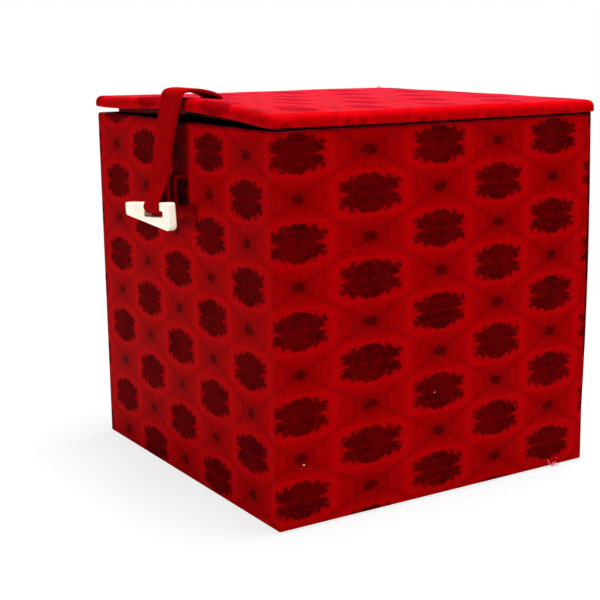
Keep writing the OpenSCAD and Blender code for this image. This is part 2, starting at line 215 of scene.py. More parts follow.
@dataclass(frozen=True)
class Outline:
    """A rounded rectangle, sampled anticlockwise from the middle of its upper side.

    Attributes:
        along: Steps on the upper and on the lower side.
        across: Steps on the left and on the right side.
        corner: Steps round each corner.
    """

    along: int
    across: int
    corner: int

    def unit(self) -> tuple[np.ndarray, np.ndarray]:
        """Places of the samples before they get a size.

        Returns:
            Seats on the inner rectangle, from -1 to 1 each way, and outward directions.
        """
        half = self.along // 2
        # First and last seat, first and last outward direction in degrees, and steps of each leg
        legs = [
            ((0, 1), (-1, 1), 90, 90, half),
            ((-1, 1), (-1, 1), 90, 180, self.corner),
            ((-1, 1), (-1, -1), 180, 180, self.across),
            ((-1, -1), (-1, -1), 180, 270, self.corner),
            ((-1, -1), (1, -1), 270, 270, 2 * half),
            ((1, -1), (1, -1), 270, 360, self.corner),
            ((1, -1), (1, 1), 0, 0, self.across),
            ((1, 1), (1, 1), 0, 90, self.corner),
            ((1, 1), (0, 1), 90, 90, half),
        ]
        seats, angles = [], []
        for start, end, first, last, count in legs:
            t = np.arange(count)[:, None] / count
            seats.append(np.array(start) + (np.array(end) - np.array(start)) * t)
            angles.append(np.radians(first + (last - first) * t[:, 0]))
        turn = np.concatenate(angles)
        return np.concatenate(seats), np.stack([np.cos(turn), np.sin(turn)], axis=1)

    def near_corner(self) -> int:
        """Number of the sample in the middle of the lower right corner."""
        return self.along // 2 + 2 * self.corner + self.across + self.along + self.corner // 2

    def loops(self, a: np.ndarray, b: np.ndarray, r: np.ndarray) -> tuple[np.ndarray, np.ndarray]:
        """Rounded rectangles: the inner rectangle's point plus the radius along the outward direction.

        Args:
            a: Half width of each loop.
            b: Half height of each loop.
            r: Corner radius of each loop.

        Returns:
            Both coordinates, one row for each loop.
        """
        seat, out = self.unit()
        a, b, r = (np.asarray(v, float)[:, None] for v in (a, b, r))
        return (a - r) * seat[:, 0] + r * out[:, 0], (b - r) * seat[:, 1] + r * out[:, 1]


def wrapped(values: np.ndarray) -> np.ndarray:
    """Repeats the first column at the end, for the map of a surface that closes on itself."""
    return np.concatenate([values, values[:, :1]], axis=1)


def surface(name: str, points: np.ndarray, uv: np.ndarray | None, ends: Ends,
            sharp: float = 50) -> bpy.types.Object:
    """Makes a closed mesh from loops of points, its faces turned outwards.

    Args:
        name: Name of the piece.
        points: Loops x points x 3, in millimetres. Quad k of band j lies between loops j and j + 1.
        uv: Cloth map in millimetres with one column more than points, or None. It has one row
            more too where the ends are joined.
        ends: Whether the first and last loops are filled or joined.
        sharp: Edges above this angle in degrees are drawn sharp.

    Returns:
        The new object.
    """
    rows, count = points.shape[:2]
    flat = points.reshape(-1, 3) * MM
    if uv is None:
        uv = np.zeros((rows + 1, count + 1, 2))
    bands = rows if ends is Ends.JOINED else rows - 1
    j, k = np.arange(bands)[:, None], np.arange(count)[None, :]
    low, high, far = j * count, (j + 1) % rows * count, (k + 1) % count
    quads = np.stack([low + k, low + far, high + far, high + k], axis=-1).reshape(-1, 4)
    maps = np.stack([uv[:bands, :-1], uv[:bands, 1:], uv[1:bands + 1, 1:], uv[1:bands + 1, :-1]], axis=2)
    maps = [maps.reshape(-1, 2)]
    caps = []
    if ends is Ends.CAPPED:
        caps = [np.arange(count)[::-1], np.arange(count) + (rows - 1) * count]
        maps += [uv[0, :-1][::-1], uv[rows - 1, :-1]]
    # Six times the volume inside, which is negative where the faces point inwards
    p = flat[quads]
    volume = (p[:, 0] * (np.cross(p[:, 1], p[:, 2]) + np.cross(p[:, 2], p[:, 3]))).sum()
    for cap in caps:
        q = flat[cap]
        volume += (q[0] * np.cross(q[1:-1], q[2:])).sum()
    faces = quads.tolist() + [cap.tolist() for cap in caps]
    if volume < 0:
        faces = [face[::-1] for face in faces]
        maps = [maps[0].reshape(-1, 4, 2)[:, ::-1].reshape(-1, 2)] + [m[::-1] for m in maps[1:]]
    mesh = bpy.data.meshes.new(name)
    mesh.from_pydata(flat.tolist(), [], faces)
    layer = mesh.uv_layers.new(name=CLOTH_UV)
    layer.data.foreach_set("uv", (np.concatenate(maps) * MM).astype(np.float32).ravel())
    mesh.shade_smooth()
    mesh.set_sharp_from_angle(angle=math.radians(sharp))
    piece = bpy.data.objects.new(name, mesh)
    bpy.context.scene.collection.objects.link(piece)
    return piece


def ribbon(name: str, path: np.ndarray, width: np.ndarray, thick: np.ndarray, x0: float,
           outline: Outline, lean: np.ndarray | None = None, start: tuple[float, float] = (0, 0)
           ) -> bpy.types.Object:
    """Carries a flat rounded section along a path that lies in an upright plane.

    The section's width runs along X, and its thickness along the path's normal, which is the
    path's direction turned a quarter turn.

    Args:
        name: Name of the piece.
        path: Points (y, z) of the middle line, in millimetres.
        width: Width at each point.
        thick: Thickness at each point.
        x0: Middle of the ribbon on X.
        outline: Sampling of the section.
        lean: Rise for each millimetre along X at each point, or None.
        start: Cloth map's place of the ribbon's start.

    Returns:
        The new object.
    """
    way = np.gradient(path, axis=0)
    way /= np.linalg.norm(way, axis=1)[:, None]
    x, off = outline.loops(width / 2, thick / 2, thick * TAPE_ROUND)
    y = path[:, :1] - way[:, 1:] * off
    z = path[:, 1:] + way[:, :1] * off
    if lean is not None:
        z = z + x * lean[:, None]
    run = np.concatenate([[0], np.cumsum(np.linalg.norm(np.diff(path, axis=0), axis=1))])
    uv = np.stack(np.broadcast_arrays(x + start[0], run[:, None] + start[1]), axis=-1)
    return surface(name, np.stack([x + x0, y, z], axis=-1), wrapped(uv), Ends.CAPPED, sharp=60)


@dataclass(frozen=True)
class Finish(ABC):
    """One finish, made as a material.

    Attributes:
        name: What the finish is.
        slot: The record's material slot that the finish stands for; not used.
        place: What its pattern reads.
        roughness: Roughness where no pattern changes it.
        specular: Strength of the surface reflection.
        sheen: Strength of the fibres' grazing glow.
        sheen_spread: Roughness of that glow; a low one keeps it to the flattest angles.
        sheen_tint: Its colour, sRGB.
        relief: Strength of the bump, for heights in millimetres.
    """

    name: str
    slot: str
    place: Place = Place.CLOTH
    roughness: float = 0.6
    specular: float = 0.3
    sheen: float = 0.0
    sheen_spread: float = 0.3
    sheen_tint: str = "FFFFFF"
    relief: float = 0.5

    def material(self) -> bpy.types.Material:
        """Builds the material, or finds it where it is there already.

        Returns:
            The material.
        """
        if self.name in bpy.data.materials:
            return bpy.data.materials[self.name]
        made = bpy.data.materials.new(self.name)
        made.use_nodes = True
        tree = made.node_tree
        tree.nodes.clear()
        colour, roughness, height = self.pattern(tree, self.millimetres(tree))
        bump = add(tree, "ShaderNodeBump", {"Height": height, "Strength": self.relief, "Distance": MM})
        shader = add(tree, "ShaderNodeBsdfPrincipled", {
            "Base Color": colour, "Roughness": roughness, "Normal": bump.outputs[0],
            "Specular IOR Level": self.specular, "Sheen Weight": self.sheen,
            "Sheen Roughness": self.sheen_spread, "Sheen Tint": linear(self.sheen_tint)})
        self.extra(shader)
        add(tree, "ShaderNodeOutputMaterial", {"Surface": shader.outputs[0]})
        return made

    def millimetres(self, tree: bpy.types.NodeTree) -> Known:
        """Adds the coordinates that the pattern reads.

        Args:
            tree: Node tree that takes the nodes.

        Returns:
            Coordinates in millimetres, one by one under u, v and w, and together under place.
        """
        if self.place is Place.CLOTH:
            source = add(tree, "ShaderNodeUVMap", uv_map=CLOTH_UV).outputs[0]
        else:
            source = add(tree, "ShaderNodeTexCoord").outputs["Object"]
        scaled = add(tree, "ShaderNodeMapping", {0: source, 3: (1 / MM,) * 3}).outputs[0]
        parts = add(tree, "ShaderNodeSeparateXYZ", {0: scaled}).outputs
        return {"u": parts[0], "v": parts[1], "w": parts[2], "place": scaled}

    def extra(self, shader: bpy.types.Node) -> None:
        """Sets what only one finish needs."""

    @abstractmethod
    def pattern(self, tree: bpy.types.NodeTree, known: Known) -> Look:
        """Draws the pattern.

        Args:
            tree: Node tree that takes the nodes.
            known: Coordinates in millimetres.

        Returns:
            Colour, roughness and height in millimetres over the surface.
        """


@dataclass(frozen=True)
class Brocade(Finish):
    """Jacquard silk: a satin ground gives the glow at grazing angles, and matt ornaments woven
    into it look darker. Ovals with ragged edges stand in half-drop columns, with a small star
    between two ovals of a column.

    Attributes:
        relief: Strength of the bump; the threads stand only slightly proud.
        ground: Colour of the ground.
        streak: Colour of its darker threads.
        ring: Colour of the bright line round an oval and of its notches.
        oval: Colour of the ovals.
        leaf: Colour of the leaves inside them.
        star: Colour of the stars and of the bars beside them.
        thread: Width of the woven steps. Silk threads lie closer than this; they are drawn as coarse
            as they need to show.
        pitch: Distance from column to column and from oval to oval.
        half: Half length and half height of an oval.
        powers: Exponents of an oval's outline, along it and across it.
        ragged: Shares of the lobes and of the fraying in that outline.
        bound: Value of the outline's formula at the oval's edge.
        ring_line: Value of the field in the ring's middle, and its change from there to the edge.
        lattice: Half width of the dark lattice, as a share of the way from star to star.
        star_half: Half length and half height of a star.
        bars: Distance of the bars from a star's middle, half their width, and half their height.
        notch: Distance of a notch's tip from the oval's middle, slope, and greatest half height.
        matt: Further roughness of the ornaments.
    """

    relief: float = 0.35
    ground: str = "930002"
    streak: str = "6A0001"
    ring: str = "A00004"
    oval: str = "360001"
    leaf: str = "5C0005"
    star: str = "340001"
    thread: float = 0.5
    pitch: tuple[float, float] = (23.2, 26.15)
    half: tuple[float, float] = (10.9, 6.1)
    powers: tuple[float, float] = (1.75, 2.2)
    ragged: tuple[float, float] = (1.3, 0.8)
    bound: float = 2.02
    ring_line: tuple[float, float] = (0.03, 0.32)
    lattice: float = 0.29
    star_half: tuple[float, float] = (2.6, 1.8)
    bars: tuple[float, float, float] = (5.0, 0.4, 2.9)
    notch: tuple[float, float, float] = (6.0, 0.35, 0.85)
    matt: float = 0.18

    def pattern(self, tree: bpy.types.NodeTree, known: Known) -> Look:
        """Draws the ground first, and every ornament over it.

        Args:
            tree: Node tree that takes the nodes.
            known: Coordinates in millimetres.

        Returns:
            Colour, roughness and height in millimetres over the surface.
        """
        self.repeats(tree, known)
        clouds(tree, known, fray=(2.4, 1.3, 2, 3), worn=(9, 9, 9, 3), threads=(0.6, 6, 1, 2),
               wefts=(7, 0.8, 1, 2))
        self.ovals(tree, known)
        self.lines(tree, known)
        self.stars(tree, known)
        reckon(tree, known, [
            ("warp_mix", "MULTIPLY_ADD", "threads", 1.4, -0.4),
            ("weft_mix", "MULTIPLY_ADD", "wefts", 1.2, -0.4), ("dull", "MULTIPLY", "weft_mix", 0.35),
            *crossing(self.thread), ("weave_low", "MULTIPLY", "weave", 0.22),
            ("raised", "MULTIPLY_ADD", "oval_one", -0.05, "weave_low"),
            ("height", "MULTIPLY_ADD", "leaf", 0.05, "raised"),
            ("rough", "MULTIPLY_ADD", "oval_one", self.matt, self.roughness),
        ])
        streak, ring, star = linear(self.streak), linear(self.ring), linear(self.star)
        colour = paint(tree, linear(self.ground), [
            (known["warp_mix"], streak), (known["ring"], ring), (known["band"], streak),
            (known["halo"], streak), (known["bar"], star), (known["star"], star),
            (known["oval"], linear(self.oval)), (known["leaf"], linear(self.leaf)),
            (known["notch"], ring), (known["dull"], streak)])
        return colour, known["rough"], known["height"]

    def repeats(self, tree: bpy.types.NodeTree, known: Known) -> None:
        """Adds the place inside one repeat: the rest of each coordinate after its nearest column or
        row, with every second column half a repeat lower. The field cos(pi u / pitch)
        cos(2 pi v / pitch) is 1 in every oval and -1 in every star.

        Args:
            tree: Node tree that takes the nodes.
            known: Coordinates, which take ax, ay, below, field and the mirrored noises too.
        """
        repeat_u, repeat_v = self.pitch
        reckon(tree, known, [
            ("step_u", "SNAP", "u", self.thread), ("step_v", "SNAP", "v", self.thread),
            ("share_u", "DIVIDE", "step_u", repeat_u), ("column", "ROUND", "share_u"),
            ("rest_u", "SUBTRACT", "share_u", "column"), ("x", "MULTIPLY", "rest_u", repeat_u),
            ("ax", "ABSOLUTE", "x"), ("odd", "PINGPONG", "column", 1.0), ("drop", "MULTIPLY", "odd", 0.5),
            ("share_v", "DIVIDE", "step_v", repeat_v), ("moved", "SUBTRACT", "share_v", "drop"),
            ("row", "ROUND", "moved"), ("rest_v", "SUBTRACT", "moved", "row"),
            ("y", "MULTIPLY", "rest_v", repeat_v), ("ay", "ABSOLUTE", "y"),
            ("below", "SUBTRACT", repeat_v / 2, "ay"),
            ("turn_u", "MULTIPLY", "step_u", math.pi / repeat_u), ("cos_u", "COSINE", "turn_u"),
            ("turn_v", "MULTIPLY", "step_v", 2 * math.pi / repeat_v), ("cos_v", "COSINE", "turn_v"),
            ("field", "MULTIPLY", "cos_u", "cos_v"),
        ])
        mirror = add(tree, "ShaderNodeCombineXYZ", {0: known["ax"], 1: known["ay"], 2: 3.7}).outputs[0]
        for name, scale, detail in (("leafage", 0.5, 2.0), ("veins", 0.7, 1.0)):
            noise = {"Vector": mirror, "Scale": scale, "Detail": detail}
            known[name] = add(tree, "ShaderNodeTexNoise", noise).outputs[0]

    def ovals(self, tree: bpy.types.NodeTree, known: Known) -> None:
        """Adds the ovals, their leaves and the notches in their ends. An oval is where
        (|x| / half length)^power + (|y| / half height)^power plus noise is below the bound; the
        lobes' noise is mirrored on both axes.

        Args:
            tree: Node tree that takes the nodes.
            known: Values so far, which take oval_one, oval, leaf and notch too.
        """
        tip, slope, most = self.notch
        reckon(tree, known, [
            ("oval_x", "DIVIDE", "ax", self.half[0]), ("oval_y", "DIVIDE", "ay", self.half[1]),
            ("power_x", "POWER", "oval_x", self.powers[0]), ("power_y", "POWER", "oval_y", self.powers[1]),
            ("reach", "ADD", "power_x", "power_y"),
            ("lobed", "MULTIPLY_ADD", "leafage", self.ragged[0], "reach"),
            ("frayed", "MULTIPLY_ADD", "fray", self.ragged[1], "lobed"),
            ("inner", "SUBTRACT", self.bound, "frayed"), *ramp("oval_one", "inner", 5.0, 1.0),
            ("faded", "MULTIPLY_ADD", "worn", 0.6, 0.6), ("oval", "MULTIPLY", "oval_one", "faded"),
            ("mixed", "MULTIPLY_ADD", "fray", 0.7, "veins"), ("vein", "SUBTRACT", "mixed", 0.88),
            *ramp("vein_one", "vein", 8.0, 0.7), ("leaf", "MULTIPLY", "vein_one", "oval_one"),
            ("notch_far", "SUBTRACT", "ax", tip), ("notch_high", "MULTIPLY", "notch_far", slope),
            ("notch_cap", "MINIMUM", "notch_high", most), ("notch_in", "SUBTRACT", "notch_cap", "ay"),
            *ramp("notch", "notch_in", 4.0, 0.7),
        ])

    def lines(self, tree: bpy.types.NodeTree, known: Known) -> None:
        """Adds the bright ring, which follows one value of the field, and the dark lattice. The
        lattice runs straight from star to star, where the two shares of the way to a star add up
        to 1.

        Args:
            tree: Node tree that takes the nodes.
            known: Values so far, which take ring and band too.
        """
        value, fade = self.ring_line
        repeat_u, repeat_v = self.pitch
        reckon(tree, known, [
            ("ring_off", "SUBTRACT", "field", value), ("ring_abs", "ABSOLUTE", "ring_off"),
            ("ring_share", "DIVIDE", "ring_abs", fade), ("ring_full", "SUBTRACT", 1.0, "ring_share"),
            *ramp("ring", "ring_full", 0.8, 0.8),
            ("near_u", "DIVIDE", "ax", repeat_u), ("near_v", "DIVIDE", "ay", repeat_v / 2),
            ("near", "ADD", "near_u", "near_v"), ("near_off", "SUBTRACT", "near", 1.0),
            ("near_abs", "ABSOLUTE", "near_off"), ("wavy", "MULTIPLY_ADD", "fray", 0.3, "near_abs"),
            ("band_in", "SUBTRACT", self.lattice, "wavy"), *ramp("band", "band_in", 3.6, 0.55),
        ])

    def stars(self, tree: bpy.types.NodeTree, known: Known) -> None:
        """Adds the stars, their soft dark halo and the thin bars beside them. A star is where the
        squared shares of its half length and half height plus noise add up to little.

        Args:
            tree: Node tree that takes the nodes.
            known: Values so far, which take star, halo and bar too.
        """
        away, half_width, half_height = self.bars
        reckon(tree, known, [
            ("star_x", "DIVIDE", "ax", self.star_half[0]), ("star_y", "DIVIDE", "below", self.star_half[1]),
            ("star_xx", "MULTIPLY", "star_x", "star_x"), ("star_yy", "MULTIPLY", "star_y", "star_y"),
            ("star_far", "ADD", "star_xx", "star_yy"), ("halo_in", "MULTIPLY_ADD", "star_far", -0.17, 1.0),
            *ramp("halo", "halo_in", 0.75, 0.75),
            ("star_rag", "MULTIPLY_ADD", "fray", 2.6, "star_far"), ("star_in", "SUBTRACT", 2.4, "star_rag"),
            *ramp("star", "star_in", 1.2, 0.8),
            ("bar_x", "COMPARE", "ax", away, half_width), ("bar_y", "LESS_THAN", "below", half_height),
            ("bar_both", "MULTIPLY", "bar_x", "bar_y"), ("bar", "MULTIPLY", "bar_both", 0.2),
        ])


@dataclass(frozen=True)
class PlainWeave(Finish):
    """Plain-woven cotton: crossing threads give a fine even grain and a matt face.

    Attributes:
        pale: Colour of the raised threads.
        deep: Colour between them and in worn patches.
        thread: Thread spacing, drawn a little coarser than the real one so that it shows.
    """

    pale: str = "960002"
    deep: str = "720001"
    thread: float = 0.45

    def pattern(self, tree: bpy.types.NodeTree, known: Known) -> Look:
        """Draws the weave, and soft patches for wear.

        Args:
            tree: Node tree that takes the nodes.
            known: Coordinates in millimetres.

        Returns:
            Colour, roughness and height in millimetres over the surface.
        """
        clouds(tree, known, patch=(4, 7, 5, 3), slub=(0.5, 5, 2, 1))
        reckon(tree, known, [
            *crossing(self.thread), ("height", "MULTIPLY", "weave", 0.4),
            ("patch_mix", "MULTIPLY_ADD", "patch", 1.6, -0.45),
            ("slub_mix", "MULTIPLY_ADD", "slub", 1.2, -0.4),
        ])
        deep = linear(self.deep)
        colour = paint(tree, linear(self.pale), [(known["patch_mix"], deep), (known["slub_mix"], deep)])
        return colour, self.roughness, known["height"]


@dataclass(frozen=True)
class Satin(Finish):
    """Satin lining: long floats of thread give a smooth face with soft streaks across it.

    Attributes:
        pale: Colour of the floats.
        deep: Colour in the creases.
    """

    # Very dark wine red: partly the lining's colour, partly painted shade, so that lining edges in the gap
    # under the lid read dark
    pale: str = "4C070F"
    deep: str = "2E0409"

    def pattern(self, tree: bpy.types.NodeTree, known: Known) -> Look:
        """Draws streaks along v, and broad soft waves where the cloth isn't pulled tight.

        Args:
            tree: Node tree that takes the nodes.
            known: Coordinates in millimetres.

        Returns:
            Colour, roughness and height in millimetres over the surface.
        """
        clouds(tree, known, streaks=(0.4, 9, 4, 2), waves=(26, 14, 20, 1))
        reckon(tree, known, [
            ("streak_mix", "MULTIPLY_ADD", "streaks", 1.0, -0.3), ("fine", "MULTIPLY", "streaks", 0.04),
            ("height", "MULTIPLY_ADD", "waves", 0.5, "fine"),
        ])
        colour = paint(tree, linear(self.pale), [(known["streak_mix"], linear(self.deep))])
        return colour, self.roughness, known["height"]


@dataclass(frozen=True)
class Fibres(Finish):
    """Pressed or loose fibres without a weave: greyboard, wadding or lint.

    Attributes:
        pale: Colour of most fibres.
        deep: Colour of the specks.
        fibre: Length and width of a fibre, in millimetres.
        depth: Height of the fibres, in millimetres.
    """

    pale: str = "9A9186"
    deep: str = "6E665C"
    fibre: tuple[float, float] = (2.5, 0.5)
    depth: float = 0.15

    def pattern(self, tree: bpy.types.NodeTree, known: Known) -> Look:
        """Draws two sets of patches, drawn out along different axes.

        Args:
            tree: Node tree that takes the nodes.
            known: Coordinates in millimetres.

        Returns:
            Colour, roughness and height in millimetres over the surface.
        """
        long, wide = self.fibre
        clouds(tree, known, one=(long, wide, wide, 3), two=(wide, wide, long, 3))
        reckon(tree, known, [
            ("both", "ADD", "one", "two"), ("speck", "MULTIPLY_ADD", "both", 1.6, -1.25),
            ("height", "MULTIPLY", "both", self.depth),
        ])
        colour = paint(tree, linear(self.pale), [(known["speck"], linear(self.deep))])
        return colour, self.roughness, known["height"]


@dataclass(frozen=True)
class Bone(Finish):
    """Cut and polished bone: creamy white, a little light passes in, faint lengthwise grain.

    Attributes:
        pale: Colour of the polished faces.
        deep: Colour of the grain.
        glow: Weight of the light that passes in, and its reach in red, green and blue in millimetres.
    """

    pale: str = "F4EEDF"
    deep: str = "E0CFAE"
    glow: tuple[float, float, float, float] = (0.15, 0.6, 0.4, 0.25)

    def pattern(self, tree: bpy.types.NodeTree, known: Known) -> Look:
        """Draws grain along the wedge, and soft yellowed patches.

        Args:
            tree: Node tree that takes the nodes.
            known: Coordinates in millimetres.

        Returns:
            Colour, roughness and height in millimetres over the surface.
        """
        clouds(tree, known, grain=(12, 0.5, 0.7, 2), yellow=(7, 4, 4, 1))
        reckon(tree, known, [
            ("grain_mix", "MULTIPLY_ADD", "grain", 0.9, -0.38),
            ("yellow_mix", "MULTIPLY_ADD", "yellow", 0.9, -0.35), ("height", "MULTIPLY", "grain", 0.03),
        ])
        deep = linear(self.deep)
        colour = paint(tree, linear(self.pale), [(known["grain_mix"], deep), (known["yellow_mix"], deep)])
        return colour, self.roughness, known["height"]

    def extra(self, shader: bpy.types.Node) -> None:
        """Lets a little light pass in.

        Args:
            shader: The finish's shader.
        """
        weight, *reach = self.glow
        shader.inputs["Subsurface Weight"].default_value = weight
        shader.inputs["Subsurface Radius"].default_value = reach
        shader.inputs["Subsurface Scale"].default_value = MM


# Brocade: the silk ground glows softly at flat angles, and the matt ornaments stay dark
BROCADE = Brocade("red_jacquard_brocade", "brocade", roughness=0.55, specular=0.005, sheen=0.28,
                  sheen_spread=0.14, sheen_tint="FF3868")
# The same cloth on the lid with painted sheen: its ground and ornaments are painted lighter and closer in
# tone, standing in for the glow its threads give where the lid is seen at a flat angle
LID_BROCADE_PAINTED_SHEEN = replace(BROCADE, name="red_jacquard_brocade_painted_sheen_on_lid", sheen=0.4, ground="A20003",
                      streak="820003", ring="AC0006", oval="6C0003", leaf="940008", star="700003")
# Cotton tape: matt, with an even fine grain and slightly worn patches
STRAP_CLOTH = PlainWeave("red_cotton_tape", "strap_cloth", roughness=0.85, specular=0.01, sheen=0.06,
                         sheen_spread=0.2, sheen_tint="FF3A55")
# Cloth under the base: the same grain, darker and quite dull
BASE_CLOTH = PlainWeave("plain_base_cloth", "base_cloth", Place.OBJECT, roughness=0.9, specular=0.05,
                        pale="5E070C", deep="420407")
# Satin: a smooth face with long soft streaks, in a wine red made very dark as painted shade for the gap
# under the lid
SATIN_PAINTED_SHADE = Satin("wine_red_satin_painted_shade", "satin", roughness=0.45, specular=0.03)
# Greyboard: dull grey pulp with darker fibres pressed into it
GREYBOARD = Fibres("pressed_greyboard", "greyboard", Place.OBJECT, roughness=0.95, specular=0.1)
# Wadding: loose white fibres that scatter all light
WADDING = Fibres("polyester_wadding", "wadding", Place.OBJECT, roughness=1.0, specular=0.05, sheen=0.3,
                 pale="F2F0EA", deep="D6D3CB", fibre=(5.0, 0.4), depth=0.4)
# Lint: short pink threads rubbed off the cloth
LINT = Fibres("pink_cotton_lint", "wadding", Place.OBJECT, roughness=0.9, specular=0.1,
              pale="F08AA0", deep="E26080", fibre=(1.0, 0.3), depth=0.02)
# Bone: creamy white with a soft polish, the brightest thing on the box
BONE = Bone("polished_bone", "bone", Place.OBJECT, roughness=0.28, specular=0.5)


def dress(piece: bpy.types.Object, finish: Finish, body: str | None, *nodes: str) -> bpy.types.Object:
    """Gives a piece its finish and its body, and reports it.

    Args:
        piece: The piece.
        finish: Its finish.
        body: Body it rides on, or None where it bends between two.
        nodes: CAD nodes it stands for.

    Returns:
        The same piece.
    """
    piece.data.materials.append(finish.material())
    if nodes:
        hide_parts(*nodes)
    if body:
        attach(piece, body)
    log.info("%s: %d faces, finish %s", piece.name, len(piece.data.polygons), finish.name)
    return piece


def extent(node: str) -> tuple[np.ndarray, np.ndarray]:
    """Lowest and highest corner of a CAD node, in millimetres."""
    low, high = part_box(node)
    return np.array(low) / MM, np.array(high) / MM


@dataclass
class Walls:
    """Card walls wrapped in one strip of brocade, with a card base and its cloth.

    Attributes:
        cloth: Thickness of the brocade.
        corner: Radius of the upright corners.
        rim: Radius of the rim's outer edge.
        foot: Radius of the lower edge.
        turn_in: Distance that the strip runs down inside.
        turn_under: Distance that it runs under the base.
        wall: Depth from the outer face to the inner face of the turned-in brocade.
        belly: Distance that the middle of a wall bows out, and the power that keeps the bow full.
        shift: Place of the pattern's first column and row.
        stretch: Amount, middle and width of the stretch on the right face.
        dip: Drop of the pattern at the near corner, the run of that drop, and the slope beyond it.
    """

    cloth: float = 0.5
    corner: float = 0.8
    rim: float = 0.9
    foot: float = 0.7
    turn_in: float = 14
    turn_under: float = 12
    wall: float = 3.6
    belly: tuple[float, float] = (0.55, 0.7)
    shift: tuple[float, float] = (7.5, 8.9)
    stretch: tuple[float, float, float] = (2.75, 37, 14)
    dip: tuple[float, float, float] = (0.75, 8.0, 0.03)

    def profile(self, low: float, top: float) -> tuple[np.ndarray, np.ndarray]:
        """The strip's cross-section, once round: under the base, up the outside, over the rim and
        down inside, and back along the card with the cloth's thickness between.

        Args:
            low: Height of the strip's underside.
            top: Height of the rim.

        Returns:
            Points as (inset, height), and the cloth map's second coordinate.
        """
        quarter = np.radians(np.linspace(0, 90, 7))
        rise = np.linspace(low + self.foot, top - self.rim, 46)[1:-1]
        inner_rim = self.rim - self.cloth
        crease = 0.15
        legs = [
            [[i, low] for i in np.linspace(self.turn_under, self.foot + 1, 4)],
            np.stack([self.foot * (1 - np.sin(quarter)), low + self.foot * (1 - np.cos(quarter))], 1),
            np.stack([0 * rise, rise], 1),
            np.stack([self.rim * (1 - np.cos(quarter)), top - self.rim + self.rim * np.sin(quarter)], 1),
            [[self.wall - self.cloth, top], [self.wall - crease, top - crease]],
            [[self.wall, z] for z in np.linspace(top - self.cloth, top - self.turn_in, 7)],
            [[self.wall - self.cloth, z] for z in np.linspace(top - self.turn_in, top - self.cloth, 4)],
            np.stack([self.cloth + inner_rim * (1 - np.cos(quarter[::-1])),
                      top - self.rim + inner_rim * np.sin(quarter[::-1])], 1),
            [[self.cloth, z] for z in np.linspace(top - self.rim - 1, low + self.foot + 1, 30)],
            [[self.cloth, low + self.cloth], [self.turn_under, low + self.cloth]],
        ]
        points = np.concatenate([np.asarray(leg, float) for leg in legs])
        run = np.concatenate([[0], np.cumsum(np.linalg.norm(np.diff(points, axis=0), axis=1))])
        middle = len(legs[0]) + len(quarter) + len(rise) // 2
        return points, run - run[middle] + points[middle, 1]

    def bulge(self, outline: Outline, inset: np.ndarray, share: np.ndarray) -> np.ndarray:
        """Distance that each point stands out: the belly, times sin(pi h)^power up the wall, times
        1 - s^2 along it, and nothing on the corners.

        Args:
            outline: Sampling of the walls.
            inset: Inset of each loop; only the cloth's two faces bow out.
            share: Height of each loop, from 0 at the foot to 1 at the rim.

        Returns:
            Distances in millimetres, one row for each loop.
        """
        most, power = self.belly
        seat, out = outline.unit()
        up = (inset <= self.cloth) * np.sin(np.pi * share) ** power
        along = np.where(np.abs(out[:, 1]) > STRAIGHT, 1 - seat[:, 0] ** 2, 0)
        along = np.where(np.abs(out[:, 0]) > STRAIGHT, 1 - seat[:, 1] ** 2, along)
        return most * up[:, None] * along

    def cloth_map(self, run: np.ndarray, near: float, up: np.ndarray) -> np.ndarray:
        """Place of each point on the cloth. Across it that is the way from the near corner, less a
        tanh step where the right face is stretched. Along it that is the way up, with a drop round
        the near corner and a slope on the strap side.

        Args:
            run: Distance round the walls at each sample, in millimetres.
            near: That distance at the near corner.
            up: Distance along the strip's section at each loop.

        Returns:
            Cloth map, in millimetres.
        """
        amount, middle, breadth = self.stretch
        drop, drop_run, slope = self.dip
        from_near = run - near
        left = np.maximum(-from_near, 0)
        u = from_near - amount * (1 + np.tanh((from_near - middle) / breadth)) - self.shift[0]
        v = up[:, None] + drop * np.tanh(left / drop_run) + slope * left - self.shift[1]
        return np.stack(np.broadcast_arrays(u, v), axis=-1)

    def build(self) -> None:
        """Makes the strip of brocade, and dresses the cards inside it and the cloth under it."""
        lowest, highest = extent("side_wrap")
        half = (highest - lowest)[:2] / 2
        low, top = lowest[2], highest[2]
        rows, up = self.profile(low, top)
        inset, height = rows.T
        outline = Outline(64, 64, 6)
        _, out = outline.unit()
        corner = np.maximum(self.corner - inset, LEAST_RADIUS)
        x, y = outline.loops(half[0] - inset, half[1] - inset, corner)
        push = self.bulge(outline, inset, np.clip((height - low) / (top - low), 0, 1))
        z = np.broadcast_to(height[:, None], x.shape)
        points = np.stack([x + push * out[:, 0], y + push * out[:, 1], z], axis=-1)
        outer = np.stack(outline.loops(half[:1], half[1:], np.array([self.corner])), axis=-1)[0]
        steps = np.linalg.norm(np.roll(outer, -1, axis=0) - outer, axis=1)
        run = np.concatenate([[0], np.cumsum(steps)])
        uv = self.cloth_map(run, run[outline.near_corner()], up)
        wrap = surface("wall_brocade", points, np.concatenate([uv, uv[:1]]), Ends.JOINED, sharp=70)
        dress(wrap, BROCADE, "box", "side_wrap")
        for node in ("base_board", "front_board", "back_board", "left_board", "right_board"):
            self.cover(node, GREYBOARD)
        self.cover("base_cover", BASE_CLOTH)

    @staticmethod
    def cover(node: str, finish: Finish) -> None:
        """Gives a CAD node a finish in place of its own.

        Args:
            node: Name of the node.
            finish: Its finish.
        """
        piece = frame["nodes"][node]
        piece.data.materials.clear()
        piece.data.materials.append(finish.material())
        log.info("%s: CAD node, finish %s", node, finish.name)


class Panel(Enum):
    """The satin-covered cards inside the box, with the direction that each one faces."""

    FLOOR = ("floor_lining", 2, 1)
    FRONT = ("front_lining", 1, 1)
    BACK = ("back_lining", 1, -1)
    LEFT = ("left_lining", 0, 1)
    RIGHT = ("right_lining", 0, -1)


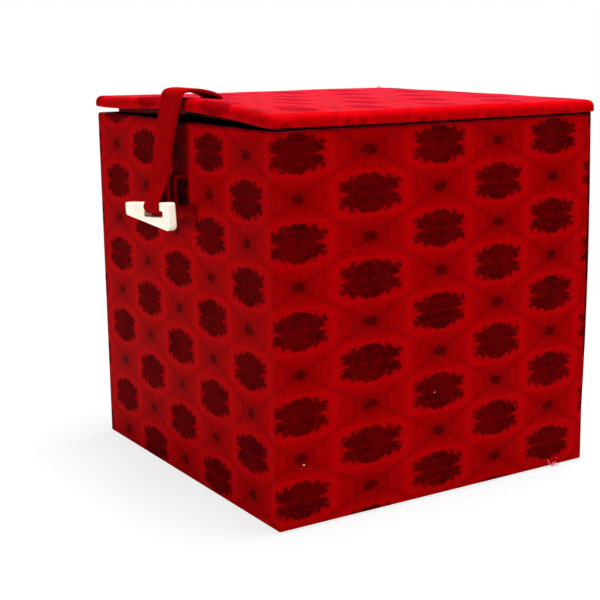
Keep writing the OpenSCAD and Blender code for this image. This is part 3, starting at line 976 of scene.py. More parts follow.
@dataclass
class Lining:
    """Satin stretched over thin cards, softly crowned, with rounded edges.

    Attributes:
        edge: Radius of a card's covered edge.
        crown: Distance that the middle of a card stands proud.
        corner: Radius of a card's corners.
        rings: Number of loops on each face.
    """

    edge: float = 0.35
    crown: float = 0.22
    corner: float = 0.6
    rings: int = 12

    def rows(self, thick: float) -> tuple[np.ndarray, ...]:
        """Loops from the middle of the back, round the edge, to the middle of the face. The edge is
        two quarter circles, and the crown 1 - s^2.

        Args:
            thick: Thickness of the card.

        Returns:
            Inset, share and height of each loop, and its share of the crown.
        """
        shares = np.linspace(0.03, 1, self.rings)
        quarter = np.radians(np.linspace(0, 90, 5))[1:]
        across, up = self.edge * (1 - np.sin(quarter)), self.edge * (1 - np.cos(quarter))
        face, none = np.full(self.rings, self.edge), np.zeros(self.rings)
        inset = np.concatenate([face, across, up, face])
        share = np.concatenate([shares, np.ones(2 * len(quarter)), shares[::-1]])
        height = np.concatenate([none, up, thick - across, np.full(self.rings, thick)])
        crown = np.concatenate([none, np.zeros(2 * len(quarter)), 1 - shares[::-1] ** 2])
        return inset, share, height, crown

    def build(self) -> None:
        """Makes the five cards."""
        for panel in Panel:
            node, axis, face = panel.value
            low, high = extent(node)
            a, b = [k for k in range(3) if k != axis]
            inset, share, height, crown = self.rows(high[axis] - low[axis])
            x, y = Outline(40, 40, 3).loops(((high - low)[a] / 2 - inset) * share,
                                            ((high - low)[b] / 2 - inset) * share,
                                            np.maximum(self.corner - inset, LEAST_RADIUS) * share)
            points = np.zeros((*x.shape, 3))
            points[..., a] = x + (low + high)[a] / 2
            points[..., b] = y + (low + high)[b] / 2
            start = low[axis] if face > 0 else high[axis]
            points[..., axis] = (start + face * (height + self.crown * crown))[:, None]
            uv = wrapped(np.stack([x, y], axis=-1))
            # Dark satin: painted shade, so that the lining's edges in the gap under the lid read dark
            dress(surface(f"{node}_satin", points, uv, Ends.CAPPED), SATIN_PAINTED_SHADE, "box", node)


@dataclass
class Lid:
    """Lid board under thin wadding and brocade, bowed up at the middle of its front edge.

    Attributes:
        gap: Gap between the rim and the lid where it is flat.
        lift: Further gap along the whole front edge.
        bow: Height of the bow.
        curl: Further rise of the corner on the strap's far side.
        reach: Share of the depth that the bow runs back over.
        middle: Place of the bow's highest point on X.
        fall: Share of the way to the right end that the bow takes, and the power of its fall.
        cloth: Thickness of the brocade.
        board_top: Height of the board's top above the lid's underside.
        wad: Thickness of the wadding at the corners, and further thickness away from them.
        uneven: Height of the wadding's long waves and of its short ones.
        soft: Width of the rounded border.
        shoulder: Height at which that border meets the upright edge.
        edge: Heights of the loops down that edge; the last is the radius of the fold below it.
        turn_in: Brocade turned under the board.
        corner: Radius of the upright corners.
        lining_card: Thickness and crown of the satin-covered card.
        shift: Place of the pattern's first column and row.
    """

    gap: float = 0.95
    lift: float = 0.4
    bow: float = 2.4
    curl: float = 0.8
    reach: float = 0.55
    middle: float = 2.4
    fall: tuple[float, float] = (0.9, 2.2)
    cloth: float = 0.5
    board_top: float = 2.8
    wad: tuple[float, float] = (0.5, 0.35)
    uneven: tuple[float, float] = (0.09, 0.05)
    soft: float = 2.6
    shoulder: float = 1.7
    edge: tuple[float, float, float] = (1.6, 1.0, 0.5)
    turn_in: float = 9
    corner: float = 1.6
    lining_card: tuple[float, float] = (1.5, 0.15)
    shift: tuple[float, float] = (4.0, 6.5)

    def __post_init__(self) -> None:
        """Takes the lid's outline from the CAD."""
        low, high = extent("lid_brocade")
        self.half = (high - low)[:2] / 2
        self.mid = (low + high)[1] / 2
        self.front = low[1]
        self.rim = extent("side_wrap")[1][2]
        self.side = extent("side_wrap")[1][0]

    def rise(self, x: np.ndarray, y: np.ndarray) -> np.ndarray:
        """Height of the lid's underside above the rim: the gap, plus a bow along x that is a
        squared sine on the left and falls off as a power on the right, and a curl that grows as x^2
        to the left, all fading back as (1 - s)^2.

        Args:
            x: Places across the lid, in millimetres.
            y: Places from front to back.

        Returns:
            Heights, in millimetres.
        """
        share, power = self.fall
        left = np.sin(np.pi / 2 * np.clip((x + self.side) / (self.side + self.middle), 0, 1)) ** 2
        right = np.clip((x - self.middle) / ((self.side - self.middle) * share), 0, 1)
        bow = np.where(x < self.middle, left, 1 - right ** power)
        curl = np.clip(-x / self.side, 0, 1) ** 2
        s = np.clip((y - self.front) / (2 * self.half[1] * self.reach), 0, 1)
        return self.gap + (1 - s) ** 2 * (self.lift + self.bow * bow + self.curl * curl)

    def wadding(self, x: np.ndarray, y: np.ndarray) -> np.ndarray:
        """Thickness of the wadding: thin at the corners, where the product of the two shares of the
        way out is near 1, with long and short sine waves over it.

        Args:
            x: Places across the lid, in millimetres.
            y: Places from front to back.

        Returns:
            Thicknesses, in millimetres.
        """
        long, short = self.uneven
        far = np.clip(x / self.half[0] * (y - self.mid) / self.half[1], -1, 1) ** 4
        waves = long * np.sin(x / 9.1 + 0.6) * np.sin(y / 11.3 + 1.1) + short * np.sin((x + y) / 5.7)
        return self.wad[0] + self.wad[1] * (1 - far) + waves

    def layer(self, name: str, rows: np.ndarray, flat_rows: int) -> bpy.types.Object:
        """Makes a closed layer from loops that follow the lid's outline.

        Args:
            name: Name of the piece.
            rows: Inset, share, height above the underside and share of the wadding of each loop.
            flat_rows: Number of loops before the border.

        Returns:
            The new object.
        """
        inset, share, height, pad = rows.T
        outline = Outline(80, 80, 6)
        _, out = outline.unit()
        x, y = outline.loops((self.half[0] - inset) * share, (self.half[1] - inset) * share,
                             np.maximum(self.corner - inset, LEAST_RADIUS) * share)
        y = y + self.mid
        z = self.rim + self.rise(x, y) + height[:, None] + pad[:, None] * self.wadding(x, y)
        steps = np.linalg.norm(np.diff(rows[:, [0, 2]], axis=0), axis=1) * (share[1:] == 1)
        run = np.concatenate([[0], np.cumsum(steps)])
        run = np.where(np.arange(len(rows)) < flat_rows, 0, run - run[flat_rows - 1])
        edge = flat_rows - 1
        past = share[:, None] == 1
        u = np.where(past, x[edge] + out[:, 0] * run[:, None], x) - self.shift[0]
        v = np.where(past, y[edge] + out[:, 1] * run[:, None], y) - self.shift[1]
        points = np.stack([x, y, z], axis=-1)
        return surface(name, points, wrapped(np.stack([u, v], axis=-1)), Ends.CAPPED, sharp=75)

    @staticmethod
    def flat(inset: float, height: float, pad: float, count: int, outward: bool) -> np.ndarray:
        """Loops of a flat face, which grow from the middle or shrink towards it.

        Args:
            inset: Inset of the face's outermost loop.
            height: Height above the underside.
            pad: Share of the wadding under it.
            count: Number of loops.
            outward: Whether they grow.

        Returns:
            Inset, share, height and share of the wadding of each loop.
        """
        shares = np.linspace(0.02, 1, count) if outward else np.linspace(0.97, 0.02, count)
        return np.stack([np.full(count, inset), shares, np.full(count, height), np.full(count, pad)], axis=1)

    def border(self, inset: float, top: float, foot: float, pad: float, count: int) -> np.ndarray:
        """Loops of the soft border, a quarter ellipse: the way in follows 1 - sin, and the height
        and the wadding follow cos.

        Args:
            inset: Inset at its foot.
            top: Height at its top.
            foot: Height at its foot.
            pad: Share of the wadding at its top.
            count: Number of loops.

        Returns:
            Inset, share, height and share of the wadding of each loop, from the top down.
        """
        quarter = np.radians(np.linspace(0, 90, count))
        way_in, fall = 1 - np.sin(quarter), np.cos(quarter)
        return np.stack([inset + (self.soft - inset) * way_in, np.ones(count), foot + (top - foot) * fall,
                         pad * fall], axis=1)

    def cover_rows(self) -> np.ndarray:
        """The brocade's loops: over the top, round the soft border, down the edge, under the board,
        and back on the inner side of the cloth.

        Returns:
            Inset, share, height and share of the wadding of each loop.
        """
        cloth, soft, shoulder, turn_in = self.cloth, self.soft, self.shoulder, self.turn_in
        fold = self.edge[-1]
        bent, flat_from, flat_back = 0.3 * fold, 4 * fold, 4
        top = self.board_top + GLUE + cloth
        return np.concatenate([
            self.flat(soft, top, 1, 40, True),
            self.border(0, top, shoulder, 1, 9)[1:],
            [[0, 1, z, 0] for z in self.edge],
            [[bent, 1, bent, 0], [fold, 1, 0, 0]],
            [[inset, 1, 0, 0] for inset in np.linspace(flat_from, turn_in, 4)],
            [[inset, 1, cloth, 0] for inset in (turn_in, flat_back, cloth)],
            [[cloth, 1, self.edge[0], 0]],
            self.border(cloth, top - cloth, shoulder, 1, 9)[::-1],
            self.flat(soft, top - cloth, 1, 9, False),
        ])

    def wadding_rows(self) -> np.ndarray:
        """The wadding's loops: its top, its rounded border and its flat back on the board.

        Returns:
            Inset, share, height and share of the wadding of each loop.
        """
        start = self.cloth + 0.12
        top, edge_top = 0.97, 0.95
        return np.concatenate([
            self.flat(self.soft, self.board_top, top, 24, True),
            self.border(start, self.board_top, self.board_top, edge_top, 7)[1:],
            self.flat(start, self.board_top, 0, 6, False),
        ])

    def card_rows(self) -> np.ndarray:
        """The board's loops: its top, its edge and its underside.

        Returns:
            Inset, share, height and share of the wadding of each loop.
        """
        inset = low = self.cloth + GLUE
        return np.concatenate([self.flat(inset, self.board_top - GLUE, 0, 20, True),
                               [[inset, 1, low, 0]], self.flat(inset, low, 0, 8, False)])

    def build(self) -> None:
        """Makes the board, the wadding, the cover and the card under the lid."""
        dress(self.layer("lid_card", self.card_rows(), 20), GREYBOARD, "lid", "lid_board")
        # The lid's cover takes the brocade with painted sheen: lighter colours that stand in for its glow at
        # a flat angle
        cover = dress(self.layer("lid_cover", self.cover_rows(), 40), LID_BROCADE_PAINTED_SHEEN, "lid",
                      "lid_brocade")
        wad = dress(self.layer("lid_wadding", self.wadding_rows(), 24), WADDING, "lid", "lid_padding")
        self.lining()

    def lining(self) -> None:
        """Makes the satin-covered card, which follows the bow from below."""
        low, high = extent("lid_lining")
        thick, proud = self.lining_card
        inset, share, height, crown = Lining().rows(thick)
        x, y = Outline(48, 48, 5).loops(((high - low)[0] / 2 - inset) * share,
                                        ((high - low)[1] / 2 - inset) * share,
                                        np.maximum(self.corner - inset, LEAST_RADIUS) * share)
        y = y + (low + high)[1] / 2
        z = self.rim + self.rise(x, y) - GLUE - height[:, None] - proud * crown[:, None]
        points = np.stack([x, y, z], axis=-1)
        piece = surface("lid_lining_satin", points, wrapped(np.stack([x, y], axis=-1)), Ends.CAPPED)
        # Dark satin: painted shade for the gap between the lid and the rim
        dress(piece, SATIN_PAINTED_SHADE, "lid", "lid_lining")


@dataclass
class HingeCloth:
    """Strip of brocade that hinges the lid: glued low on the back, it stands off towards the rim
    and runs up to the lid's lower edge.

    Attributes:
        thick: Thickness of the cloth.
        over: Distance that it runs up past the crease.
        belly: Distance that it bows out between its foot and the rim.
        wider: Distance that its loose edges stand out past the CAD strip.
        below: Distance below the crease above which it stands upright.
        fold: Half height of a stretch at the crease; not used.
        shift: Place of the pattern's first column and row.
    """

    thick: float = 0.5
    over: float = 1.6
    belly: float = 1.2
    wider: float = 1.7
    below: float = 0.6
    fold: float = 0.9
    shift: tuple[float, float] = (3.0, 2.0)

    def build(self) -> None:
        """Makes the strip and bends it between box and lid. Its middle line is a straight slope
        plus a half sine, and then an upright stretch past the crease."""
        low, high = extent("back_cloth")
        hinge = next(j for j in frame["joints"] if j["name"] == "lid_hinge")
        crease = hinge["pos_m"][2] / MM
        t = np.linspace(0, 1, 60)
        y = low[1] + self.thick / 2 + (high[1] - low[1] - self.thick) * t + self.belly * np.sin(np.pi * t)
        z = low[2] + (crease - self.below - low[2]) * t
        past = np.linspace(crease - self.below / 2, crease + self.over, 8)
        upright = np.stack([np.full(len(past), high[1] - self.thick / 2), past], axis=1)
        path = np.concatenate([np.stack([y, z], axis=1), upright])
        width = np.full(len(path), high[0] - low[0] + 2 * self.wider)
        thick = np.full(len(path), self.thick)
        strip = ribbon("hinge_cloth", path, width, thick, 0, Outline(60, 1, 2), start=self.shift)
        dress(strip, BROCADE, None, "back_cloth")
        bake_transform(strip)


@dataclass
class Clasp:
    """Cloth strap from the lid, the bone wedge in its loop, and the keeper loop on the front.

    Attributes:
        thick: Thickness of the folded strap.
        ply: Thickness of one of its two plies.
        widths: Width at the lid and at the wedge.
        step: Distance between points on the strap's straight stretches.
        arch: Height of the arch's control point above the bend.
        slit_back: Distance of the slit behind the lid's front edge.
        mouth: Depth of the slit's mouth below the bend.
        root_run: Length of the strap's flat end under the lid board.
        knee: Control point of the bend, outwards and upwards, and the distance that the bend runs down.
        ring: Radius of the loop's middle line round the bar.
        split: Height above the bar at which the strap's two plies are apart.
        parting: Distance over which they part.
        sway: Distance that the hanging strap bows out.
        twist: Height above the bar at which the strap starts to lean with the wedge, and the distance
            over which it does.
        tilt: Tilt of the wedge, in degrees.
        bar: Half height of the wedge's bar.
        wedge: Thickness, thick end's height, thin end's height and length of the wedge.
        cut: Width and height of the cut at the thick end's lower corner.
        slot: Half length and height of its slot, and the distance from slot to thick end.
        rounds: Corner radius of the wedge and of its slot.
        worn: Width of the wedge's worn edges.
        keeper: Thickness of the keeper's band.
        opening: Height of the keeper's opening.
        keeper_bend: Radius of the band's two bends.
        keeper_depth: Distance behind the front at which the band's ends lie, and their straight run.
    """

    thick: float = 1.2
    ply: float = 0.6
    widths: tuple[float, float] = (14.0, 10.3)
    step: float = 1.2
    arch: float = 1.8
    slit_back: float = 13.2
    mouth: float = 2.0
    root_run: float = 12.0
    knee: tuple[float, float, float] = (-0.35, 0.25, 2.2)
    ring: float = 1.95
    split: float = 8.0
    parting: float = 2.5
    sway: float = 0.45
    twist: tuple[float, float] = (12.0, 10.0)
    tilt: float = 5.5
    bar: float = 1.35
    wedge: tuple[float, float, float, float] = (2.9, 8.9, 4.2, 32.4)
    cut: tuple[float, float] = (1.8, 0.9)
    slot: tuple[float, float, float] = (7.0, 1.9, 4.2)
    rounds: tuple[float, float] = (0.9, 0.7)
    worn: float = 0.7
    keeper: float = 0.8
    opening: float = 9.2
    keeper_bend: float = 1.3
    keeper_depth: tuple[float, float] = (2.4, 2.0)

    def __post_init__(self) -> None:
        """Takes the bend and the bar from the joints."""
        places = {j["name"]: np.array(j["pos_m"]) / MM for j in frame["joints"]}
        self.bend = places["strap_bend"][1:]
        self.pivot = places["toggle_swing"][1:]
        self.x0 = places["strap_bend"][0]
        self.slit_y = extent("lid_brocade")[0][1] + self.slit_back

    def arch_line(self, count: int) -> np.ndarray:
        """Cubic Bezier curve from the slit in the lid to the bend.

        Args:
            count: Number of points.

        Returns:
            Points (y, z), in millimetres.
        """
        exit_z = self.bend[1] - self.mouth
        control = np.array([[self.slit_y, exit_z], [self.slit_y - self.thick, exit_z + 1.2 * self.thick],
                            [self.bend[0] + self.slit_back / 3, self.bend[1] + self.arch], self.bend])
        s = np.linspace(0, 1, count)[:, None]
        return ((1 - s) ** 3 * control[0] + 3 * s * (1 - s) ** 2 * control[1]
                + 3 * s * s * (1 - s) * control[2] + s ** 3 * control[3])

    def hanging_line(self, drop: float) -> tuple[np.ndarray, np.ndarray, np.ndarray]:
        """The strap below the bend, as seen from the wedge's bar. Both plies hang together in a half
        sine and part linearly. The front one then swells out as a power of the way down, turns round
        the bar as an arc, and goes up behind as its own mirror image.

        Args:
            drop: Distance from the bend to the bar.

        Returns:
            Distance out from the bar, height above it, and thickness at each point.
        """
        half, split = self.ply / 2, self.split
        both = np.concatenate([np.linspace(drop - self.knee[2] - self.step, split + 3, 22),
                               np.linspace(split + 2.4, split, 5)])
        apart = np.clip((split + self.parting - both) / self.parting, 0, 1)
        sway = self.sway * np.sin(np.pi * np.clip((both - split) / (drop - split), 0, 1))
        front = np.linspace(split - 0.8, 1.2, 6)
        swell = half + (self.ring - half) * (1 - (front - 0.4) / (split - 0.4)) ** 1.1
        turn = np.radians(np.linspace(12, -192, 22))
        behind = np.full(2, -half - 0.02)
        out = np.concatenate([half * apart + sway, swell, self.ring * np.cos(turn), -swell[::-1], behind])
        up = np.concatenate([both, front, self.ring * np.sin(turn), front[::-1], [split, split + 0.4]])
        thick = np.full(len(up), self.ply)
        thick[:len(both)] += (self.thick - self.ply) * (1 - apart)
        return out, up, thick

    def strap_line(self) -> tuple[np.ndarray, ...]:
        """The strap's middle line: out of the slit, over the arch, round the bend as a quadratic
        Bezier curve, down to the bar, once round it and up again behind.

        Returns:
            Points (y, z), widths, thicknesses and the share of the wedge's tilt at each point.
        """
        drop = np.linalg.norm(self.bend - self.pivot)
        up = (self.bend - self.pivot) / drop
        out = np.array([-up[1], up[0]])
        arch = self.arch_line(26)[:-3]
        stem = arch[0] - np.array([[0, 2 * self.step], [0, self.step]])
        knee = self.bend + self.knee[:2]
        landing = self.pivot + (drop - self.knee[2]) * up
        s = np.linspace(0, 1, 9)[1:, None]
        corner = (1 - s) ** 2 * arch[-1] + 2 * s * (1 - s) * knee + s * s * landing
        away, height, thick = self.hanging_line(drop)
        hanging = self.pivot + away[:, None] * out + height[:, None] * up
        path = np.concatenate([stem, arch, corner, hanging])
        before = len(path) - len(hanging)
        height = np.concatenate([np.full(before, drop), height])
        thick = np.concatenate([np.full(before, self.thick), thick])
        wide, narrow = self.widths
        width = narrow + (wide - narrow) * np.clip(height / drop, 0, 1)
        start, run = self.twist
        share = np.clip((start - height) / run, 0, 1)
        return path, width, thick, share * share * (3 - 2 * share)

    def build(self, lid: Lid) -> None:
        """Makes the strap, its glued root, the wedge and the keeper.

        Args:
            lid: The lid that the strap's root lies in.
        """
        path, width, thick, share = self.strap_line()
        lean = share * math.tan(math.radians(self.tilt))
        strap = ribbon("strap_ribbon", path, width, thick, self.x0, Outline(12, 1, 4), lean)
        dress(strap, STRAP_CLOTH, None, "strap_band")
        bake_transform(strap)
        self.root(lid)
        self.toggle()
        self.keeper_band()

    def root(self, lid: Lid) -> None:
        """Makes the strap's flat end, pressed thin under the lid board, and its way up the slit.

        Args:
            lid: The lid whose underside it follows.
        """
        count, pressed, above = 8, 0.3, 0.25
        y = np.linspace(self.slit_y + self.root_run, self.slit_y + 0.6, count)
        z = lid.rim + lid.rise(np.full(count, self.x0), y) + above
        stem_y = self.slit_y + np.array([0.15, 0, 0, 0])
        stem_z = z[-1] + np.array([0.15, 0.7, 1.6, 2.6])
        path = np.stack([np.concatenate([y, stem_y]), np.concatenate([z, stem_z])], axis=1)
        thick = np.concatenate([np.full(count, pressed), [0.4, 0.8, 1.1, 1.15]])
        width = np.full(len(path), self.widths[0])
        piece = ribbon("strap_root", path, width, thick, self.x0, Outline(12, 1, 3))
        dress(piece, STRAP_CLOTH, "lid", "strap_anchor")

    def outlines(self) -> tuple[np.ndarray, np.ndarray, np.ndarray]:
        """Outlines of the wedge and of its slot from the front, measured from the bar's middle.

        Returns:
            Wedge and slot as rounded outlines, and the slot's middle, all as (x, z).
        """
        _, thick_end, thin_end, length = self.wedge
        slot_half, slot_height, slot_end = self.slot
        cut_width, cut_height = self.cut
        top, right = self.bar, slot_half + slot_end
        left, low, sill = right - length, top - thick_end, -top - slot_height
        wedge = np.array([[left, top], [left, top - thin_end], [right - cut_width, low],
                          [right, low + cut_height], [right, top]])
        slot = np.array([[-slot_half, -top], [-slot_half, sill], [slot_half, sill], [slot_half, -top]])
        wedge, slot = self.rounded(wedge, self.rounds[0]), self.rounded(slot, self.rounds[1])
        return wedge, slot, np.array([0.0, -top - slot_height / 2])

    def toggle(self) -> None:
        """Makes the wedge: both outlines are convex, so along a ray from the slot's middle each one
        lies where the nearest of its sides' planes is met. The loops run over its back, rim and
        front and through the slot, and are turned by the tilt."""
        wedge, slot, centre = self.outlines()
        shapes = [wedge - centre, slot - centre]
        least_turn = 2e-3
        angles = np.concatenate([np.arctan2(p[:, 1], p[:, 0]) for p in shapes]
                                + [np.linspace(-np.pi, np.pi, 61)[:-1]])
        angles = np.sort(angles)
        angles = angles[np.concatenate([[True], np.diff(angles) > least_turn])]
        ray = np.stack([np.cos(angles), np.sin(angles)], axis=1)
        rim, hole = (self.reach(p, ray)[:, None] * ray + centre for p in shapes)
        between, half = (rim + hole) / 2, self.wedge[0] / 2
        loops = [(rim, -half), (rim, half), (between, half), (hole, half), (hole, -half), (between, -half)]
        x = np.array([p[:, 0] for p, _ in loops])
        y = np.array([np.full(len(p), side) for p, side in loops])
        z = np.array([p[:, 1] for p, _ in loops])
        turn = math.radians(self.tilt)
        points = np.stack([x * math.cos(turn) - z * math.sin(turn) + self.x0, y + self.pivot[0],
                           x * math.sin(turn) + z * math.cos(turn) + self.pivot[1]], axis=-1)
        piece = surface("bone_wedge", points, None, Ends.JOINED, sharp=35)
        bevel = piece.modifiers.new("worn_edges", "BEVEL")
        bevel.width, bevel.segments, bevel.limit_method = self.worn * MM, 4, "ANGLE"
        bevel.angle_limit = math.radians(40)
        dress(piece, BONE, "toggle", "toggle")

    @staticmethod
    def rounded(corners: np.ndarray, radius: float) -> np.ndarray:
        """Rounds the corners of a convex outline. Each arc's middle lies on the line that halves the
        corner, radius / sin(half the corner) from it.

        Args:
            corners: Corners, anticlockwise.
            radius: Radius of the arcs.

        Returns:
            Points of the rounded outline.
        """
        before, after = np.roll(corners, 1, axis=0) - corners, np.roll(corners, -1, axis=0) - corners
        before /= np.linalg.norm(before, axis=1)[:, None]
        after /= np.linalg.norm(after, axis=1)[:, None]
        half = np.arccos((before * after).sum(axis=1)) / 2
        inward = before + after
        inward /= np.linalg.norm(inward, axis=1)[:, None]
        middle = corners + (radius / np.sin(half))[:, None] * inward
        first = np.arctan2(-inward[:, 1], -inward[:, 0]) - (np.pi / 2 - half)
        turn = first[:, None] + np.linspace(0, 1, 7) * (np.pi - 2 * half)[:, None]
        arcs = middle[:, None] + radius * np.stack([np.cos(turn), np.sin(turn)], axis=-1)
        return arcs.reshape(-1, 2)

    @staticmethod
    def reach(outline: np.ndarray, ray: np.ndarray) -> np.ndarray:
        """Distance along each ray to a convex outline round the origin: the least distance to a
        side's line that the ray runs towards.

        Args:
            outline: Points, anticlockwise.
            ray: Directions of length 1.

        Returns:
            One distance for each ray.
        """
        aside = 1e-9
        way = np.roll(outline, -1, axis=0) - outline
        normal = np.stack([way[:, 1], -way[:, 0]], axis=1)
        far = (normal * outline).sum(axis=1)
        towards = ray @ normal.T
        return np.where(towards > aside, far / np.maximum(towards, aside), np.inf).min(axis=1)

    def keeper_band(self) -> None:
        """Makes the keeper: out through one slit, up past the wedge's end, and in through the other.
        Its path is two quarter circles with a slightly swollen straight stretch between them."""
        low, high = extent("keeper_loop")
        band, bend = self.keeper, self.keeper_bend
        depth, straight = self.keeper_depth
        foot, out = extent("side_wrap")[0][1] + depth, low[1] + band / 2
        sill, lintel = high[2] - self.opening - 1.5 * band, high[2] - band / 2
        quarter = np.radians(np.linspace(0, 90, 6))
        across, along = bend * (1 - np.sin(quarter)), bend * (1 - np.cos(quarter))
        under = np.stack([out + across, sill + along], axis=1)
        over = np.stack([out + along, lintel - across], axis=1)
        share = np.linspace(0, 1, 8)[1:-1]
        rise = under[-1, 1] + (over[0, 1] - under[-1, 1]) * share
        front = np.stack([out - 0.12 * np.sin(np.pi * share), rise], axis=1)
        path = np.concatenate([[[foot, sill], [foot - straight, sill]], under, front, over,
                               [[foot - straight, lintel], [foot, lintel]]])
        width, thick = np.full(len(path), high[0] - low[0]), np.full(len(path), band)
        piece = ribbon("keeper_band", path, width, thick, (low + high)[0] / 2, Outline(6, 1, 3))
        dress(piece, STRAP_CLOTH, "box", "keeper_loop")


@dataclass(frozen=True)
class Lamp:
    """One soft square lamp.

    Attributes:
        name: Name of the lamp.
        place: Its place, in metres.
        aim: Place that it points at.
        side: Its side, in metres.
        power: Its power, in watts.
    """

    name: str
    place: tuple[float, float, float]
    aim: tuple[float, float, float]
    side: float
    power: float

    def build(self) -> None:
        """Adds the lamp."""
        data = bpy.data.lights.new(self.name, "AREA")
        data.shape, data.size, data.energy = "SQUARE", self.side, self.power
        lamp = bpy.data.objects.new(self.name, data)
        lamp.location = self.place
        lamp.rotation_mode = "QUATERNION"
        lamp.rotation_quaternion = (Vector(self.aim) - Vector(self.place)).to_track_quat("-Z", "Y")
        bpy.context.scene.collection.objects.link(lamp)


@dataclass
class Studio:
    """Camera, floor, world and lamps.

    Attributes:
        azimuth: Camera's bearing in degrees, 0 looking along +Y.
        elevation: Its angle above the horizon.
        distance: Its distance from the target, in metres.
        target: Height of the target.
        roll: Turn about its own axis, in degrees.
        lens: Focal length on a 36 mm sensor.
        shift: Offset of the frame, as shares of its side.
        fill: Strength of the light from all round.
        paper: Share of the light that the floor gives back.
        fade: Distance from the middle at which the floor starts to whiten, distance over which it
            does, and the share of plain white before that.
    """

    azimuth: float = 57.08
    elevation: float = 11.12
    distance: float = 0.462
    target: float = 0.06
    roll: float = -0.559
    lens: float = 77.9
    shift: tuple[float, float] = (-0.0589, -0.0285)
    fill: float = 0.04
    paper: float = 0.6
    fade: tuple[float, float, float] = (0.1, 0.2, 0.8)

    def camera(self) -> None:
        """Makes the camera, at the angle and with the lens that fit the box's edges."""
        a, e = math.radians(self.azimuth), math.radians(self.elevation)
        back = Vector((math.sin(a) * math.cos(e), -math.cos(a) * math.cos(e), math.sin(e)))
        data = bpy.data.cameras.new("camera")
        data.sensor_width, data.lens = 36, self.lens
        data.shift_x, data.shift_y = self.shift
        camera = bpy.data.objects.new("camera", data)
        camera.location = Vector((0, 0, self.target)) + back * self.distance
        camera.rotation_mode = "QUATERNION"
        camera.rotation_quaternion = ((-back).to_track_quat("-Z", "Y")
                                      @ Quaternion((0, 0, 1), math.radians(self.roll)))
        bpy.context.scene.collection.objects.link(camera)
        bpy.context.scene.camera = camera

    def world(self) -> None:
        """Makes the world white to the camera and in reflections, and a plain soft light
        otherwise."""
        world = bpy.data.worlds.new("studio")
        bpy.context.scene.world = world
        world.use_nodes = True
        tree = world.node_tree
        tree.nodes.clear()
        light = add(tree, "ShaderNodeBackground", {0: (1, 1, 1, 1), 1: self.fill})
        white = add(tree, "ShaderNodeBackground", {0: (1, 1, 1, 1), 1: 1.0})
        rays = add(tree, "ShaderNodeLightPath").outputs
        known = {"camera": rays["Is Camera Ray"], "gloss": rays["Is Glossy Ray"],
                 "through": rays["Is Transmission Ray"]}
        reckon(tree, known, [("seen", "MAXIMUM", "camera", "gloss"), ("any", "MAXIMUM", "seen", "through")])
        mixed = add(tree, "ShaderNodeMixShader", {0: known["any"], 1: light.outputs[0], 2: white.outputs[0]})
        add(tree, "ShaderNodeOutputWorld", {0: mixed.outputs[0]})

    def floor(self) -> None:
        """Makes a white floor that keeps the shadow close to the box. To the camera its own shade is
        covered by plain white, by a share that rises to 1 further off."""
        reach = 3.0
        corners = [(-reach, -reach, 0), (reach, -reach, 0), (reach, reach, 0), (-reach, reach, 0)]
        mesh = bpy.data.meshes.new("studio_floor")
        mesh.from_pydata(corners, [], [[0, 1, 2, 3]])
        floor = bpy.data.objects.new("studio_floor", mesh)
        bpy.context.scene.collection.objects.link(floor)
        made = bpy.data.materials.new("white_paper_floor")
        made.use_nodes = True
        tree = made.node_tree
        tree.nodes.clear()
        start, run, least = self.fade
        place = add(tree, "ShaderNodeTexCoord").outputs["Object"]
        known = {"far": add(tree, "ShaderNodeVectorMath", {0: place}, operation="LENGTH").outputs["Value"],
                 "camera": add(tree, "ShaderNodeLightPath").outputs["Is Camera Ray"]}
        reckon(tree, known, [
            ("off", "SUBTRACT", "far", start), *ramp("rest", "off", 1 / run, 1.0),
            ("white", "MULTIPLY_ADD", "rest", 1 - least, least), ("share", "MULTIPLY", "white", "camera"),
        ])
        matt = add(tree, "ShaderNodeBsdfDiffuse", {0: (*(self.paper,) * 3, 1)})
        plain = add(tree, "ShaderNodeEmission", {0: (1, 1, 1, 1), 1: 1.0})
        shades = {0: known["share"], 1: matt.outputs[0], 2: plain.outputs[0]}
        mixed = add(tree, "ShaderNodeMixShader", shades)
        add(tree, "ShaderNodeOutputMaterial", {0: mixed.outputs[0]})
        mesh.materials.append(made)

    def build(self) -> None:
        """Sets the stage, camera first."""
        bpy.context.scene.view_settings.view_transform = "Standard"
        self.camera()
        self.world()
        self.floor()
        middle = (0.0, 0.0, self.target)
        for lamp in (
            Lamp("right_lamp", (1.2, 0.0, 0.35), middle, 0.4, 8.0),
            Lamp("top_lamp", (0.05, 0.15, 1.2), middle, 0.5, 31.0),
            Lamp("front_lamp", (-0.28, -1.25, 0.2), middle, 0.22, 8.9),
        ):
            lamp.build()


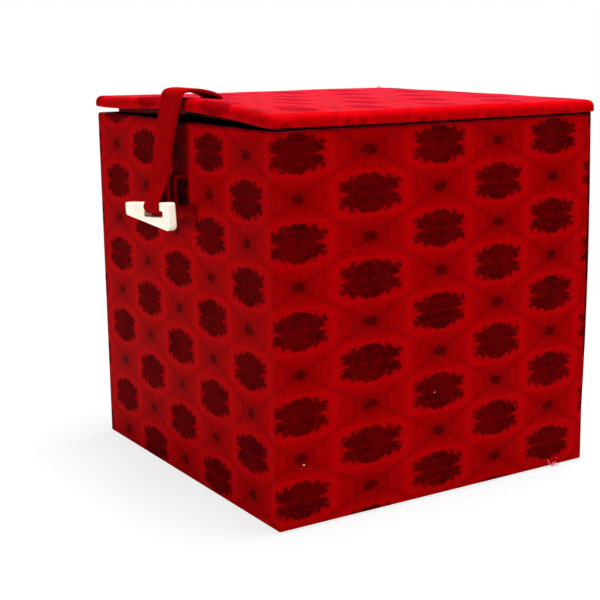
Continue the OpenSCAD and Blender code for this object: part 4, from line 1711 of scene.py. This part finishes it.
@dataclass
class Lint:
    """Small stray fibres: a tuft at the lid's far corner, fluff at the foot of the right wall, and
    two specks on that wall.

    Attributes:
        fibre: Radius of a fibre.
        tuft: Place and spread of the tuft.
        fluff: Place and spread of the fluff.
        specks: Places of the specks along the right wall and in height.
        speck: Distance of a speck from that wall, and its spread.
    """

    fibre: float = 0.11
    tuft: tuple[float, ...] = (-61.5, 62.6, 124.6, 1.5)
    fluff: tuple[float, ...] = (63.6, 47.5, 0.5, 3.4)
    specks: tuple[tuple[float, float], ...] = ((-52.4, 20.2), (-3.6, 34.9))
    speck: tuple[float, float] = (0.35, 0.3)

    def tangle(self, name: str, place: tuple[float, ...], count: int, seed: int) -> bpy.types.Object:
        """Makes curled fibres: each is an arc in a random plane that leans upwards.

        Args:
            name: Name of the piece.
            place: Middle and spread, in millimetres.
            count: Number of fibres.
            seed: Start of the random numbers.

        Returns:
            The new object, as a mesh.
        """
        chance = np.random.default_rng(seed)
        curve = bpy.data.curves.new(name, "CURVE")
        curve.dimensions, curve.bevel_depth, curve.bevel_resolution = "3D", self.fibre * MM, 1
        curve.resolution_u, curve.use_fill_caps = 6, True
        for _ in range(count):
            steps = chance.normal(0, place[3] * 0.3, (4, 3))
            steps[:, 2] = np.abs(steps[:, 2]) * 0.6
            points = (np.array(place[:3]) + np.cumsum(steps, axis=0) - steps[0] * 0.5) * MM
            line = curve.splines.new("BEZIER")
            line.bezier_points.add(3)
            line.bezier_points.foreach_set("co", points.ravel())
            for knot in line.bezier_points:
                knot.handle_left_type = knot.handle_right_type = "AUTO"
        holder = bpy.data.objects.new(name + "_curve", curve)
        bpy.context.scene.collection.objects.link(holder)
        shape = holder.evaluated_get(bpy.context.evaluated_depsgraph_get())
        piece = bpy.data.objects.new(name, bpy.data.meshes.new_from_object(shape))
        bpy.data.objects.remove(holder)
        bpy.context.scene.collection.objects.link(piece)
        return piece

    def build(self) -> None:
        """Makes the tuft, the fluff and the specks."""
        dress(self.tangle("corner_tuft", self.tuft, 4, 3), LINT, "lid")
        dress(self.tangle("foot_fluff", self.fluff, 9, 5), LINT, "box")
        away, spread = self.speck
        side = extent("side_wrap")[1][0] + away
        for k, (y, z) in enumerate(self.specks):
            dress(self.tangle(f"lint_speck_{k + 1}", (side, y, z, spread), 2, 7 + k), WADDING, "box")


def main() -> None:
    """Builds the stage and every piece, in order."""
    logging.basicConfig(level=logging.INFO, format="%(name)s: %(message)s")
    Studio().build()
    Walls().build()
    Lining().build()
    lid = Lid()
    lid.build()
    HingeCloth().build()
    Clasp().build(lid)
    Lint().build()


if __name__ == "__main__":
    main()
